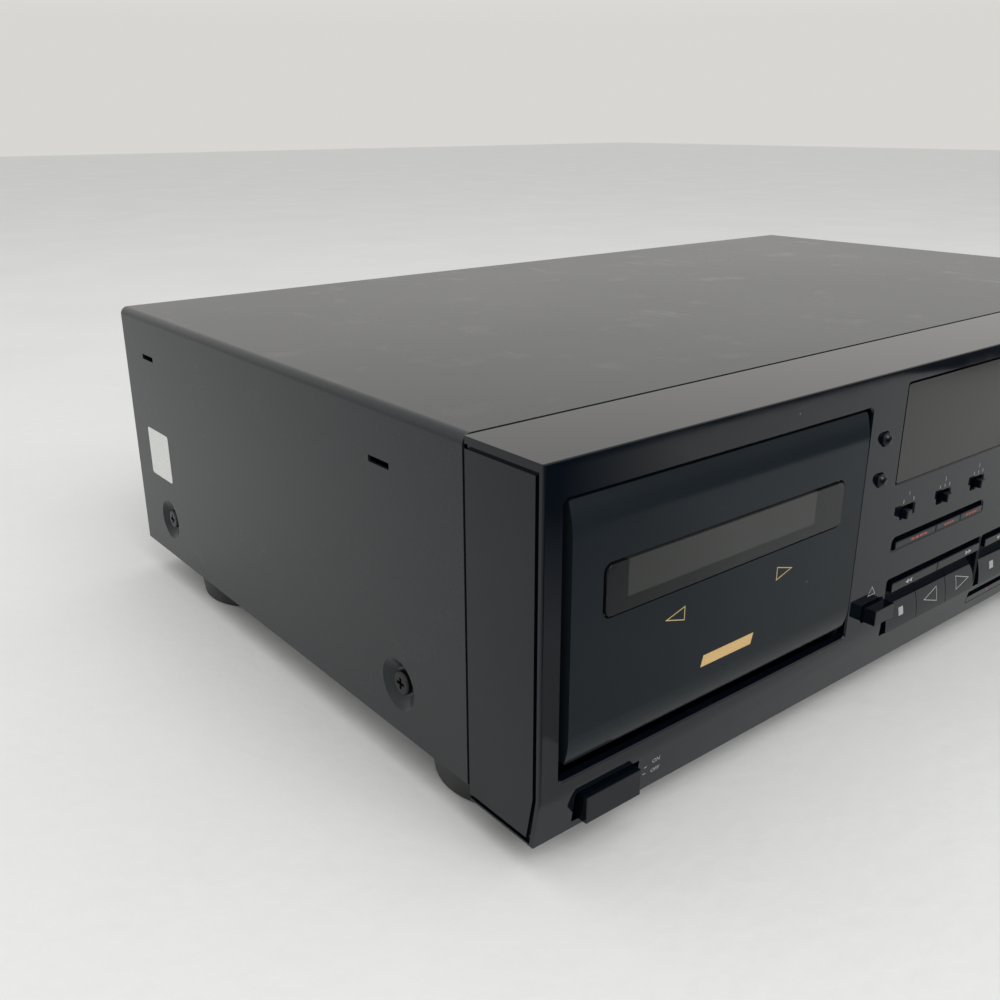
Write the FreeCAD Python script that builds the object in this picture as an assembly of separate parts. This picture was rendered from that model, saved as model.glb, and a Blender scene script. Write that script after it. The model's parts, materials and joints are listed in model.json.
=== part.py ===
"""Twin-well cassette duplicator: a hi-fi deck that plays two compact cassettes and copies one to the other.

Every piece is modelled about the middle of the front panel's lower edge (X right, Y back, Z up, millimetres)
and moved on export, so that the origin is the middle of the footprint at floor level.
"""
import FreeCAD, Part
import math
import os

V = FreeCAD.Vector

# ------------------------------------------------------------------ cabinet
WIDTH = 430.0
BODY_HEIGHT = 105.2          # front panel's lower edge to the top of the cover
BODY_DEPTH = 264.4           # front face to the back of the cover
FOOT_DROP = 9.6              # floor to the front panel's lower edge
SHEET = 1.0                  # steel sheet of cover, pan and rear panel
COVER_RISE = 3.9             # cover's lower edge above the front panel's lower edge
FOLD_R = 3.0
SEAM = 1.2                   # between front panel and cover
COVER_INSET = 0.2            # cover's sides inside the front panel's sides
LIP = 12.0                   # folded rear lip of the cover
FIT = 0.3                    # clearance round a moving piece
BORE_FIT = 0.05              # radial clearance of a shaft in its bearing
ACROSS = WIDTH / 430.0       # places across the front follow the width
UP = BODY_HEIGHT / 105.2     # places up the front follow the height
ALONG = BODY_DEPTH / 264.4   # places inside follow the depth

# ------------------------------------------------------------------ front panel
PANEL_DEPTH = 29.4
WALL = 3.0
SIDE_WALL = 2.5
TOP_EDGE_R = 0.5
SIDE_EDGE_R = 0.6            # upright front edges
STRIP_TOP = 15.0 * UP        # crease above the lower strip
STRIP_BACK = 2.5             # how far the strip leans back at its lower edge
APRON = 16.0                 # depth of the panel's bottom wall
PAN_FRONT = 11.6             # front edge of the pan, behind the face
CHEEK_GROOVE = 1.3
CHEEK_GROOVE_DEPTH = 1.0
CHEEK_FRONT = 1.5            # groove behind the front edge
CHEEK_TOP = 2.0
CHEEK_BOTTOM = 0.6
MOUTH_BEVEL = 0.5            # bevel round every opening

# ------------------------------------------------------------------ doors and cassette wells
DOOR_MARGIN = 6.5            # side of the panel to the left door's opening
MOUTH_W = 124.3 * ACROSS
MOUTH_LOW = 18.4 * UP
MOUTH_TOP = BODY_HEIGHT - 9.8
MOUTH_R = 1.6
DOOR_SIDE_GAP = 1.8
DOOR_TOP_GAP = 0.8
DOOR_LOW_GAP = 4.3
DOOR_PROUD = 1.05
DOOR_BACK = 2.6
DOOR_R = 0.8
DOOR_TOP_EDGE = 0.8          # how far the door's top edge stands back
DOOR_LOW_EDGE = 0.7          # and its lower edge
DOOR_LEAN_TOP = 5.2          # height of the leaning stretch below the top edge
DOOR_LEAN_LOW = 4.4
DOOR_BEND_TOP = 27.0         # radius from the flat stretch to the leaning one
DOOR_BEND_LOW = 22.0
WINDOW_IN = 13.0 * ACROSS    # mouth's left side to the window
WINDOW_W = 98.3 * ACROSS
WINDOW_H = 13.9
WINDOW_R = 2.0
WINDOW_PROUD = 0.5           # pane ahead of the door's flat stretch
WINDOW_RIM_R = 0.2
WINDOW_GROOVE = 0.7
WINDOW_LIP = 2.4
WINDOW_REBATE = 0.2          # depth of the seat ahead of the panel's face
HINGE_Y = 6.5
HINGE_Z = MOUTH_LOW + 3.1
HINGE_PIN_R = 1.5
HINGE_BOSS_R = 2.8
CASSETTE_W = 100.4
CASSETTE_H = 63.8
CASSETTE_T = 12.1
CASSETTE_LOW = HINGE_Z + 7.5
CASSETTE_PLAY = 0.8
TRAY_SHEET = 1.2
TRAY_LIP = 3.0
TRAY_TOP = MOUTH_TOP - 6.6
HUB_PITCH = 42.5
HUB_UP = 34.3                # hub line above the cassette's lower edge
WINDOW_LOW = CASSETTE_LOW + 32.7

# ------------------------------------------------------------------ display, keys and dial
LENS_HALF = 65.5 * ACROSS
LENS_LOW = 66.8 * UP
LENS_TOP = BODY_HEIGHT - 5.1
LENS_R = 0.8
LENS_GAP = 0.35
LENS_LIP = 1.6
TUBE_T = 9.0
TUBE_IN = 7.0                # lens edge to the tube's edge
BOARD_FRONT = 16.0
BOARD_T = 1.6
BOARD_HALF = 82.0 * ACROSS
BOARD_LOW = 6.0
BOARD_TOP = BODY_HEIGHT - 6.2
POST_X = 80.3 * ACROSS
POST_R = 2.4
POST_LOW = 50.0 * UP
POST_TOP = BOARD_TOP - 4.0
KEY_LIP = 1.0                # stop behind the panel's wall
KEY_LIP_T = 1.8
KEY_EDGE = 0.25
KEY_TRAVEL = 1.5
KEY_ROOT = 9.0               # back of a key, from the front face
CLUSTER_PITCH = 62.5 * ACROSS   # left deck's key group to the right deck's
CLUSTER_LEFT = -62.3 * ACROSS
CLUSTER_RIGHT = -0.9 * ACROSS
CLUSTER_LOW = 11.3 * UP
CLUSTER_TOP = 32.2 * UP
CLUSTER_R = 0.8
KEYS_LEFT = -59.2 * ACROSS
KEYS_TOP = 30.2 * UP
KEYS_STEP = 27.0 * UP        # upper row's lower edge
SCOOP_DEPTH = 4.0            # head of a rolled-back key behind its foot
COPY_LEFT = -62.7 * ACROSS
COPY_RIGHT = -3.8 * ACROSS
COPY_LOW = 43.2 * UP
COPY_TOP = 47.4 * UP
COPY_LOW_R = 0.8
COPY_TOP_R = 1.8
COPY_SPLITS = (-60.4 * ACROSS, -35.2 * ACROSS, -19.0 * ACROSS)   # left side of each key
COPY_KEYS_TOP = 45.6 * UP
ROW_LEFT = -1.0 * ACROSS
ROW_RIGHT = 61.6 * ACROSS
ROW_LOW = 4.2 * UP
ROW_TOP = 9.4 * UP
ROW_KEYS_TOP = 6.9 * UP
POWER_X = -WIDTH / 2 + 24.7
POWER_Z = 7.3
POWER_W = 20.1
POWER_H = 8.1
POWER_PROUD = 2.0
POWER_TRAVEL = 2.0
POWER_SIDE_GAP = 1.8
POWER_GAP = 0.9              # above and below the key
EJECT_X = -69.9 * ACROSS
EJECT_Z = 24.1 * UP
EJECT_W = 10.8
EJECT_H = 5.2
EJECT_PROUD = 4.8
BUTTON_X = -75.4 * ACROSS
BUTTON_ZS = (84.2 * UP, 70.8 * UP)
BUTTON_R = 2.25
BUTTON_PROUD = 2.1
BUTTON_DOME = 0.9            # share of the radius that is rounded
SWITCH_X = -56.1 * ACROSS
SWITCH_PITCH = 22.5 * ACROSS
SWITCH_Z = 55.8 * UP
SWITCH_W = 8.2
SWITCH_H = 3.9
SWITCH_TRAVEL = 5.0
SWITCH_RESTS = (0.0, 0.5, 0.5)   # share of the travel at which each lever stands
LEVER_W = 2.8
LEVER_H = 2.9
LEVER_PROUD = 2.4
DIAL_X = 52.0 * ACROSS
DIAL_Z = 49.5 * UP
DIAL_R = 12.0
DIAL_REACH = 16.0
DIAL_SHAFT_R = 3.0
POT_SIZE = 16.0
POT_T = 7.0
PHONES_X = 73.0 * ACROSS
PHONES_Z = 9.0
PHONES_BORE = 3.2
PHONES_BUSH = 4.6
PHONES_RING = 5.8
PHONES_DEPTH = 26.0

# ------------------------------------------------------------------ mechanism, one per deck
FRAME_FRONT = 20.5
FRAME_T = 1.2
FRAME_WING = 5.0             # plate beyond the tray on each side
FRAME_TOP = BODY_HEIGHT - 8.2
FOOT_FLANGE = 12.0
EAR_T = 1.2
EAR_GAP = 0.6
EAR_FRONT = 3.6
EAR_TOP = HINGE_Z + 5.5
EAR_LOW = HINGE_Z - 3.5
SPINDLE_R = 4.2
SPINDLE_TIP = 9.0
SPINDLE_SHAFT_R = 2.4
TURNTABLE_R = 14.0
TURNTABLE_T = 2.8
CAPSTAN_X = 24.0
CAPSTAN_Z = CASSETTE_LOW + 6.6
CAPSTAN_R = 1.1
CAPSTAN_TIP = 7.0
BEARING_R = 3.0
BEARING_LEN = 4.0
FLYWHEEL_R = 17.0
FLYWHEEL_T = 4.6
FLYWHEEL_Y = 27.0
BRIDGE_Y = 35.5
BRIDGE_T = 1.0
BRIDGE_HALF = 50.0
BRIDGE_POST_X = 46.5
BRIDGE_POST_R = 2.5
MOTOR_X = 44.0               # from the middle of the well
MOTOR_Z = CAPSTAN_Z + 22.4
MOTOR_R = 16.0
MOTOR_LEN = 22.0
MOTOR_SHAFT_R = 1.0
PULLEY_R = 4.2
BELT_T = 0.8
BELT_W = 3.0
BELT_GAP = 0.3
HEAD_BASE_HALF = 30.0
HEAD_BASE_LOW = CASSETTE_LOW - 16.0
HEAD_BASE_TOP = CASSETTE_LOW - 3.5
HEAD_BASE_T = 1.5
HEAD_LIFT = 6.0
HEAD_W = 12.0
HEAD_TOP = CASSETTE_LOW - 1.0
ROLLER_R = 4.2
ROLLER_Z = CASSETTE_LOW - 7.0
GUIDE_X = 15.0
GUIDE_R = 1.2

# ------------------------------------------------------------------ inside and rear
DIMPLE_R = 8.3
DIMPLE_FLOOR_R = 4.7
DIMPLE_DEPTH = 2.6
DIMPLE_YS = (64.3, BODY_DEPTH - 28.4)
DIMPLE_Z = 20.2
SLOT_YS = (69.7, BODY_DEPTH - 24.4)
SLOT_Z = BODY_HEIGHT - 17.2
SLOT_L = 10.6
SLOT_W = 2.0
SLOT_END_R = 0.3
SCREW_HEAD_R = 3.8
SCREW_HEAD_T = 1.8
SCREW_R = 1.45
SCREW_LEN = 6.0
REAR_SCREW_X = WIDTH / 2 - 65.0
REAR_LIP_DROP = 6.0          # rear screws below the top of the cover
FLANGE_TOP = 32.0
FOOT_R = 26.0
FOOT_R_LOW = 24.2
FOOT_X = WIDTH / 2 - 29.5
FOOT_YS = (46.0, BODY_DEPTH - 50.4)
STUD_R = 4.0
JACK_X = -WIDTH / 2 + 65.0
JACK_PITCH = 14.0
JACK_ZS = (56.0, 70.0)
JACK_R = 4.15
JACK_BORE = 1.7
JACK_REACH = 8.2
JACK_GAP = 0.8               # round each sleeve in the rear panel
JACK_EDGE = 9.0              # sleeve line to the edge of its block
JACK_BLOCK = 12.0            # depth of the block
BUSH_X = WIDTH / 2 - 55.0
BUSH_Z = 30.0
BUSH_R = 7.0
BUSH_BORE = 3.6
BUSH_REACH = 8.0
MAIN_BOARD_X = (-120.0 * ACROSS, 70.0 * ACROSS)
MAIN_BOARD_Y = (96.0 * ALONG, 236.0 * ALONG)
MAIN_BOARD_Z = 14.0
STANDOFF_R = 3.5
STANDOFF_IN = 8.0            # standoffs inside the board's edges
CAPACITOR_R = 6.5
CAPACITOR_H = 20.0
CAPACITOR_PITCH = 18.0
CAPACITOR_IN = (20.0, 30.0)  # from the board's right and front edges
CHIP = (26.0, 10.0, 3.5)
CHIP_PITCH = 46.0
CHIP_IN = (24.0, 62.0)       # from the board's left and front edges
SINK = (50.0, 4.0, 34.0)
SINK_IN = (10.0, 26.0)       # from the board's right and rear edges
TRANSFORMER = (76.0, 58.0, 54.0)
TRANSFORMER_X = 146.0 * ACROSS
TRANSFORMER_Y = 150.0 * ALONG
CORE_IN = (9.0, 14.0)        # core inside the transformer's outline
COIL_IN = (20.0, 10.0)
VENT_X = 40.0 * ACROSS       # first slot of the rear grille
VENT_PITCH = 9.0 * ACROSS
VENT_Z = (52.0 * UP, 82.0 * UP)
VENT_HALF = 1.6
FLOOR_VENT_X = -72.0 * ACROSS
FLOOR_VENT_PITCH = 18.0 * ACROSS
FLOOR_VENT_YS = (120.0 * ALONG, 180.0 * ALONG)
FLOOR_VENT_HALF = (2.0, 16.0)

# ------------------------------------------------------------------ worked-out places
HALF = WIDTH / 2
COVER_HALF = HALF - COVER_INSET
PAN_TOP = COVER_RISE + SHEET
COVER_FRONT = PANEL_DEPTH + SEAM
REAR_FACE = BODY_DEPTH - SHEET              # rear panel's outer face, under the cover's lip
REAR_REACH = REAR_FACE + JACK_REACH
FLANGE_X = COVER_HALF - SHEET - DIMPLE_DEPTH      # pan's side flanges, against the dimples
MOUTH_LEFT = -HALF + DOOR_MARGIN
DECK_PITCH = WIDTH - 2 * DOOR_MARGIN - MOUTH_W
DECKS = (("a", 0.0), ("b", DECK_PITCH))
WELL_X = MOUTH_LEFT + WINDOW_IN + WINDOW_W / 2
HUB_Z = CASSETTE_LOW + HUB_UP
TRAY_HALF = CASSETTE_W / 2 + CASSETTE_PLAY
TRAY_OUT = TRAY_HALF + TRAY_SHEET
TRAY_FRONT = DOOR_BACK + TRAY_SHEET
TRAY_BACK = TRAY_FRONT + CASSETTE_T + CASSETTE_PLAY
FRAME_BACK = FRAME_FRONT + FRAME_T
FRAME_HALF = TRAY_OUT + FRAME_WING
CLUSTERS = (("a", 0.0), ("b", CLUSTER_PITCH))
SHIFT = V(0, (DIAL_REACH - REAR_REACH) / 2, FOOT_DROP)


# ------------------------------------------------------------------ shape helpers
def box(x, y, z):
    """Block between the two values of each pair."""
    return Part.makeBox(x[1] - x[0], y[1] - y[0], z[1] - z[0], V(x[0], y[0], z[0]))


def rod(axis, centre, radius, span):
    """Cylinder along an axis; centre gives the other two coordinates in X, Y, Z order."""
    base = list(centre)
    base.insert("xyz".index(axis), span[0])
    way = [0, 0, 0]
    way["xyz".index(axis)] = 1
    return Part.makeCylinder(radius, span[1] - span[0], V(*base), V(*way))


def tube(axis, centre, outer, inner, span):
    return rod(axis, centre, outer, span).cut(rod(axis, centre, inner, span))


def cone_y(centre, radii, span):
    return Part.makeCone(radii[0], radii[1], span[1] - span[0], V(centre[0], span[0], centre[1]), V(0, 1, 0))


def outline(axis, corners, at):
    """Closed wire across an axis; a corner is (u, v) or (u, v, radius)."""
    def place(point):
        spot = list(point)
        spot.insert("xyz".index(axis), at)
        return V(*spot)

    ends = []
    for index, corner in enumerate(corners):
        here = V(corner[0], corner[1], 0)
        radius = corner[2] if len(corner) > 2 else 0
        before = (V(*corners[index - 1][:2], 0) - here).normalize()
        after = (V(*corners[(index + 1) % len(corners)][:2], 0) - here).normalize()
        if radius <= 0:
            ends.append((here, here, None))
            continue
        half = before.getAngle(after) / 2
        middle = (before + after).normalize()
        reach = radius / math.tan(half)
        crown = here + middle * (radius / math.sin(half) - radius)
        ends.append((here + before * reach, here + after * reach, crown))
    edges = []
    for index, (start, end, crown) in enumerate(ends):
        if crown is not None:
            arc = [place((p.x, p.y)) for p in (start, crown, end)]
            edges.append(Part.Arc(*arc).toShape())
        following = ends[(index + 1) % len(ends)][0]
        if (following - end).Length > 1e-6:
            edges.append(Part.makeLine(place((end.x, end.y)), place((following.x, following.y))))
    return Part.Wire(edges)


def prism(axis, corners, span):
    way = [0, 0, 0]
    way["xyz".index(axis)] = span[1] - span[0]
    return Part.Face(outline(axis, corners, span[0])).extrude(V(*way))


def rectangle(u, v, radius=0, upper=None):
    """Corners of a rectangle; the two upper corners may have a radius of their own."""
    upper = radius if upper is None else upper
    return [(u[0], v[0], radius), (u[1], v[0], radius), (u[1], v[1], upper), (u[0], v[1], upper)]


def mouth(x, z, radius=0, upper=None, back=WALL + 1):
    """Cutter for an opening in the front wall, with a bevelled rim."""
    upper = radius if upper is None else upper
    wide_x, wide_z = (x[0] - MOUTH_BEVEL, x[1] + MOUTH_BEVEL), (z[0] - MOUTH_BEVEL, z[1] + MOUTH_BEVEL)
    wide = rectangle(wide_x, wide_z, radius + MOUTH_BEVEL, upper + MOUTH_BEVEL)
    tight = rectangle(x, z, radius, upper)
    rim = Part.makeLoft([outline("y", wide, 0), outline("y", tight, MOUTH_BEVEL)], True)
    return prism("y", wide, (-3, 0)).fuse(rim).fuse(prism("y", tight, (0, back)))


def join(shapes):
    whole = shapes[0].multiFuse(shapes[1:]) if len(shapes) > 1 else shapes[0]
    return whole.removeSplitter()


def cut(shape, tools):
    return shape.cut(Part.makeCompound(tools)) if tools else shape


def shifted(shape, x):
    moved = shape.copy()
    moved.translate(V(x, 0, 0))
    return moved


def rounded_edges(shape, radius, wanted):
    """Fillet the edges whose middle point satisfies a test."""
    edges = [e for e in shape.Edges if wanted(e.valueAt((e.FirstParameter + e.LastParameter) / 2))]
    return shape.makeFillet(radius, edges)


def strip_face(z):
    """Y of the front panel's face at a height in the leaning lower strip."""
    return STRIP_BACK * max(STRIP_TOP - z, 0) / STRIP_TOP


def wall_back(z):
    """Y of the back of the front wall at a height in the lower strip."""
    return WALL + STRIP_BACK * max(STRIP_TOP - z, 0) / (STRIP_TOP - SIDE_WALL)


# ------------------------------------------------------------------ cabinet pieces
def panel_profile(front, low, top, back):
    """Side view of the front panel, inset by the given amounts."""
    return [(STRIP_BACK + front, low), (front, STRIP_TOP), (front, top), (back, top), (back, low)]


def cheek_groove(side):
    outer = panel_profile(CHEEK_FRONT, CHEEK_BOTTOM, BODY_HEIGHT - CHEEK_TOP, PANEL_DEPTH + 1)
    inner = panel_profile(CHEEK_FRONT + CHEEK_GROOVE, CHEEK_BOTTOM + CHEEK_GROOVE,
                          BODY_HEIGHT - CHEEK_TOP - CHEEK_GROOVE, PANEL_DEPTH + 2)
    span = sorted((side * (HALF + 1), side * (HALF - CHEEK_GROOVE_DEPTH)))
    return prism("x", outer, span).cut(prism("x", inner, (span[0] - 1, span[1] + 1)))


def key_openings():
    """Every opening of the middle section and the lower strip."""
    tools = []
    for _, shift in CLUSTERS:
        tools.append(mouth((CLUSTER_LEFT + shift, CLUSTER_RIGHT + shift), (CLUSTER_LOW, CLUSTER_TOP),
                           CLUSTER_R, back=WALL + STRIP_BACK))
    tools.append(mouth((COPY_LEFT, COPY_RIGHT), (COPY_LOW - FIT, COPY_TOP), COPY_LOW_R, COPY_TOP_R))
    through = (-3, WALL + STRIP_BACK + 1)
    tools.append(prism("y", rectangle((ROW_LEFT, ROW_RIGHT), (ROW_LOW, ROW_TOP), 0.6), through))
    half_w, half_h = POWER_W / 2 + POWER_SIDE_GAP, POWER_H / 2 + POWER_GAP
    power = rectangle((POWER_X - half_w, POWER_X + half_w), (POWER_Z - half_h, POWER_Z + half_h), 0.6)
    tools.append(prism("y", power, through))
    for side in (-1, 1):
        centre = -side * EJECT_X
        tools.append(mouth((centre - EJECT_W / 2 - FIT, centre + EJECT_W / 2 + FIT),
                           (EJECT_Z - EJECT_H / 2 - FIT, EJECT_Z + EJECT_H / 2 + FIT), 0.5))
    for z in BUTTON_ZS:
        tools.append(rod("y", (BUTTON_X, z), BUTTON_R + FIT, (-3, WALL + 1)))
    for index in range(3):
        middle = SWITCH_X + index * SWITCH_PITCH
        tools.append(mouth((middle - SWITCH_W / 2, middle + SWITCH_W / 2),
                           (SWITCH_Z - SWITCH_H / 2, SWITCH_Z + SWITCH_H / 2), 0.5))
    tools.append(rod("y", (DIAL_X, DIAL_Z), DIAL_SHAFT_R + 2 * FIT, (-3, WALL + 1)))
    tools.append(rod("y", (PHONES_X, PHONES_Z), PHONES_BUSH + BORE_FIT, through))
    tools.append(rod("y", (PHONES_X, PHONES_Z), PHONES_RING + FIT, (-3, STRIP_BACK)))
    return tools


def front_bezel():
    panel = prism("x", panel_profile(0, 0, BODY_HEIGHT, PANEL_DEPTH), (-HALF, HALF))
    panel = rounded_edges(panel, TOP_EDGE_R, lambda p: abs(p.y) < 0.01 and abs(p.z - BODY_HEIGHT) < 0.01)
    plan = [(-HALF, PANEL_DEPTH), (HALF, PANEL_DEPTH), (HALF, 0, SIDE_EDGE_R), (-HALF, 0, SIDE_EDGE_R)]
    panel = panel.common(prism("z", plan, (0, BODY_HEIGHT)))
    hollow = prism("x", [(STRIP_BACK + WALL, SIDE_WALL), (WALL, STRIP_TOP), (WALL, BODY_HEIGHT - SIDE_WALL),
                         (PANEL_DEPTH + 1, BODY_HEIGHT - SIDE_WALL), (PANEL_DEPTH + 1, SIDE_WALL)],
                   (-HALF + SIDE_WALL, HALF - SIDE_WALL))
    under = box((-HALF + SIDE_WALL, HALF - SIDE_WALL), (APRON, PANEL_DEPTH + 1), (-1, SIDE_WALL + 1))
    openings = [mouth((MOUTH_LEFT + shift, MOUTH_LEFT + MOUTH_W + shift), (MOUTH_LOW, MOUTH_TOP), MOUTH_R)
                for _, shift in DECKS]
    openings.append(mouth((-LENS_HALF, LENS_HALF), (LENS_LOW, LENS_TOP), LENS_R))
    panel = cut(panel, [hollow, under, cheek_groove(-1), cheek_groove(1)] + openings + key_openings())
    posts = [rod("y", (side * POST_X, z), POST_R, (WALL - 0.5, BOARD_FRONT))
             for side in (-1, 1) for z in (POST_LOW, POST_TOP)]
    rests = [box((x - 6, x + 6), (PAN_FRONT, APRON), (SIDE_WALL - 0.5, COVER_RISE))
             for x in (-HALF * 0.8, 0, HALF * 0.8)]
    return join([panel] + posts + rests)


def dimple(side, y):
    """Dished seat of a side screw: what it takes out of the cover and what it adds behind."""
    way = V(-side, 0, 0)
    face = V(side * COVER_HALF, y, DIMPLE_Z)
    inner_face = face + way * SHEET
    outer = Part.makeCone(DIMPLE_R, DIMPLE_FLOOR_R, DIMPLE_DEPTH, face, way)
    shell = Part.makeCone(DIMPLE_R, DIMPLE_FLOOR_R, DIMPLE_DEPTH, inner_face, way)
    bore = Part.makeCylinder(SCREW_R + FIT, 3 * DIMPLE_DEPTH, face, way)
    return shell, outer, bore


def top_cover():
    height = (COVER_RISE, BODY_HEIGHT)
    folded = [(-COVER_HALF, height[0]), (COVER_HALF, height[0]), (COVER_HALF, height[1], FOLD_R),
              (-COVER_HALF, height[1], FOLD_R)]
    inside = [(-COVER_HALF + SHEET, height[0] - 1), (COVER_HALF - SHEET, height[0] - 1),
              (COVER_HALF - SHEET, height[1] - SHEET, FOLD_R - SHEET),
              (-COVER_HALF + SHEET, height[1] - SHEET, FOLD_R - SHEET)]
    cover = prism("y", folded, (COVER_FRONT, BODY_DEPTH))
    cover = cover.cut(prism("y", inside, (COVER_FRONT - 1, REAR_FACE)))
    window = [(-COVER_HALF + LIP, height[0] - 1), (COVER_HALF - LIP, height[0] - 1),
              (COVER_HALF - LIP, height[1] - LIP, FOLD_R), (-COVER_HALF + LIP, height[1] - LIP, FOLD_R)]
    cover = cover.cut(prism("y", window, (REAR_FACE - 1, BODY_DEPTH + 1)))
    shells, tools = [], []
    for side in (-1, 1):
        wall = sorted((side * (COVER_HALF - SHEET - 1), side * (COVER_HALF + 1)))
        for y in DIMPLE_YS:
            shell, outer, bore = dimple(side, y)
            shells.append(shell)
            tools += [outer, bore]
        for y in SLOT_YS:
            tools.append(prism("x", rectangle((y - SLOT_L / 2, y + SLOT_L / 2),
                                              (SLOT_Z - SLOT_W / 2, SLOT_Z + SLOT_W / 2), SLOT_END_R), wall))
    for x in (-REAR_SCREW_X, 0, REAR_SCREW_X):
        tools.append(rod("y", (x, BODY_HEIGHT - REAR_LIP_DROP), SCREW_R + FIT, (REAR_FACE - 1, BODY_DEPTH + 1)))
    return cut(join([cover] + shells), tools)


def cover_screws():
    places = [(V(side * (COVER_HALF - DIMPLE_DEPTH), y, DIMPLE_Z), V(-side, 0, 0))
              for side in (-1, 1) for y in DIMPLE_YS]
    places += [(V(x, BODY_DEPTH, BODY_HEIGHT - REAR_LIP_DROP), V(0, -1, 0))
               for x in (-REAR_SCREW_X, 0, REAR_SCREW_X)]
    screws = []
    for seat, way in places:
        head = Part.makeCylinder(SCREW_HEAD_R, SCREW_HEAD_T, seat, -way)
        shank = Part.makeCylinder(SCREW_R, SCREW_LEN, seat, way)
        screws.append(dressed_screw(join([head, shank]), seat - way * SCREW_HEAD_T, -way))
    return Part.makeCompound(screws)


def dressed_screw(screw, crown, out):
    """Round the head's rim and cut a cross recess; crown is the middle of the head's outer face."""
    rim = [e for e in screw.Edges if abs(e.Length - 2 * math.pi * SCREW_HEAD_R) < 0.01
           and (e.CenterOfMass - crown).Length < 0.01]
    screw = screw.makeFillet(SCREW_HEAD_T * 0.45, rim)
    arm = SCREW_HEAD_R * 0.5
    width = SCREW_HEAD_R * 0.14
    depth = SCREW_HEAD_T * 0.55
    across = V(0, 0, 1)
    beside = across.cross(out)
    for long_way, short_way in ((across, beside), (beside, across)):
        corner = crown - long_way * arm - short_way * width - out * depth
        points = [corner, corner + long_way * 2 * arm, corner + long_way * 2 * arm + short_way * 2 * width,
                  corner + short_way * 2 * width, corner]
        screw = screw.cut(Part.Face(Part.makePolygon(points)).extrude(out * 2 * depth))
    return screw


def foot_places():
    return [(side * FOOT_X, y) for side in (-1, 1) for y in FOOT_YS]


def feet():
    made = []
    for x, y in foot_places():
        body = Part.makeCone(FOOT_R_LOW, FOOT_R, COVER_RISE + FOOT_DROP, V(x, y, -FOOT_DROP), V(0, 0, 1))
        body = rounded_edges(body, 1.6, lambda p: abs(p.z + FOOT_DROP) < 0.01)
        hollow = rod("z", (x, y), FOOT_R_LOW * 0.72, (-FOOT_DROP - 1, -FOOT_DROP + 1.2))
        stud = rod("z", (x, y), STUD_R, (COVER_RISE - 1, PAN_TOP + 3))
        made.append(join([body.cut(hollow), stud]))
    return Part.makeCompound(made)


def chassis():
    back = REAR_FACE - SHEET
    floor = box((-FLANGE_X, FLANGE_X), (PAN_FRONT, back), (COVER_RISE, PAN_TOP))
    sides = [box(sorted((side * FLANGE_X, side * (FLANGE_X - SHEET))), (COVER_FRONT + 4, back),
                 (COVER_RISE, FLANGE_TOP)) for side in (-1, 1)]
    tools = [rod("z", spot, STUD_R + BORE_FIT, (0, PAN_TOP + 1)) for spot in foot_places()]
    for y in DIMPLE_YS:
        tools.append(rod("x", (y, DIMPLE_Z), SCREW_R + BORE_FIT, (-HALF, HALF)))
    half_x, half_y = FLOOR_VENT_HALF
    for y in FLOOR_VENT_YS:
        for index in range(9):
            x = FLOOR_VENT_X + index * FLOOR_VENT_PITCH
            slot = rectangle((x - half_x, x + half_x), (y - half_y, y + half_y), half_x * 0.95)
            tools.append(prism("z", slot, (0, PAN_TOP + 1)))
    return cut(join([floor] + sides), tools)


def rear_panel():
    inside = COVER_HALF - SHEET - FIT
    through = (REAR_FACE - 2, REAR_FACE + 1)
    plate = prism("y", [(-inside, COVER_RISE), (inside, COVER_RISE), (inside, BODY_HEIGHT - SHEET, FOLD_R),
                        (-inside, BODY_HEIGHT - SHEET, FOLD_R)], (REAR_FACE - SHEET, REAR_FACE))
    flange = box((-inside + LIP, inside - LIP), (REAR_FACE - LIP, REAR_FACE - SHEET),
                 (BODY_HEIGHT - 2 * SHEET, BODY_HEIGHT - SHEET))
    tools = [rod("y", (x, BODY_HEIGHT - REAR_LIP_DROP), SCREW_R + BORE_FIT, through)
             for x in (-REAR_SCREW_X, 0, REAR_SCREW_X)]
    tools += [rod("y", spot, JACK_R + JACK_GAP, through) for spot in jack_places()]
    tools.append(rod("y", (BUSH_X, BUSH_Z), BUSH_R + BORE_FIT, through))
    for index in range(12):
        x = VENT_X + index * VENT_PITCH
        tools.append(prism("y", rectangle((x - VENT_HALF, x + VENT_HALF), VENT_Z, VENT_HALF * 0.94), through))
    return cut(join([plate, flange]), tools)


def jack_places():
    return [(JACK_X + index * JACK_PITCH, z) for index in range(2) for z in JACK_ZS]


def line_jacks():
    """Moulded block behind the rear panel with four sleeves; each sleeve has a bored middle contact."""
    front = REAR_FACE - SHEET
    block = box((JACK_X - JACK_EDGE, JACK_X + JACK_PITCH + JACK_EDGE), (front - JACK_BLOCK, front),
                (JACK_ZS[0] - JACK_EDGE, JACK_ZS[1] + JACK_EDGE))
    sleeves = [rod("y", spot, JACK_R, (REAR_FACE - SHEET - 1, REAR_REACH)) for spot in jack_places()]
    bores = [rod("y", spot, JACK_BORE, (REAR_FACE - 8, REAR_REACH + 1)) for spot in jack_places()]
    return cut(join([block] + sleeves), bores)


def cord_bush():
    ring = tube("y", (BUSH_X, BUSH_Z), BUSH_R, BUSH_BORE, (REAR_FACE - 6, REAR_FACE + BUSH_REACH))
    collar = tube("y", (BUSH_X, BUSH_Z), BUSH_R + 2.2, BUSH_BORE, (REAR_FACE, REAR_FACE + 2.4))
    return join([ring, collar])


# ------------------------------------------------------------------ doors and cassette wells
def window_span(grow):
    left = MOUTH_LEFT + WINDOW_IN
    return ((left - grow, left + WINDOW_W + grow), (WINDOW_LOW - grow, WINDOW_LOW + WINDOW_H + grow))


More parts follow.
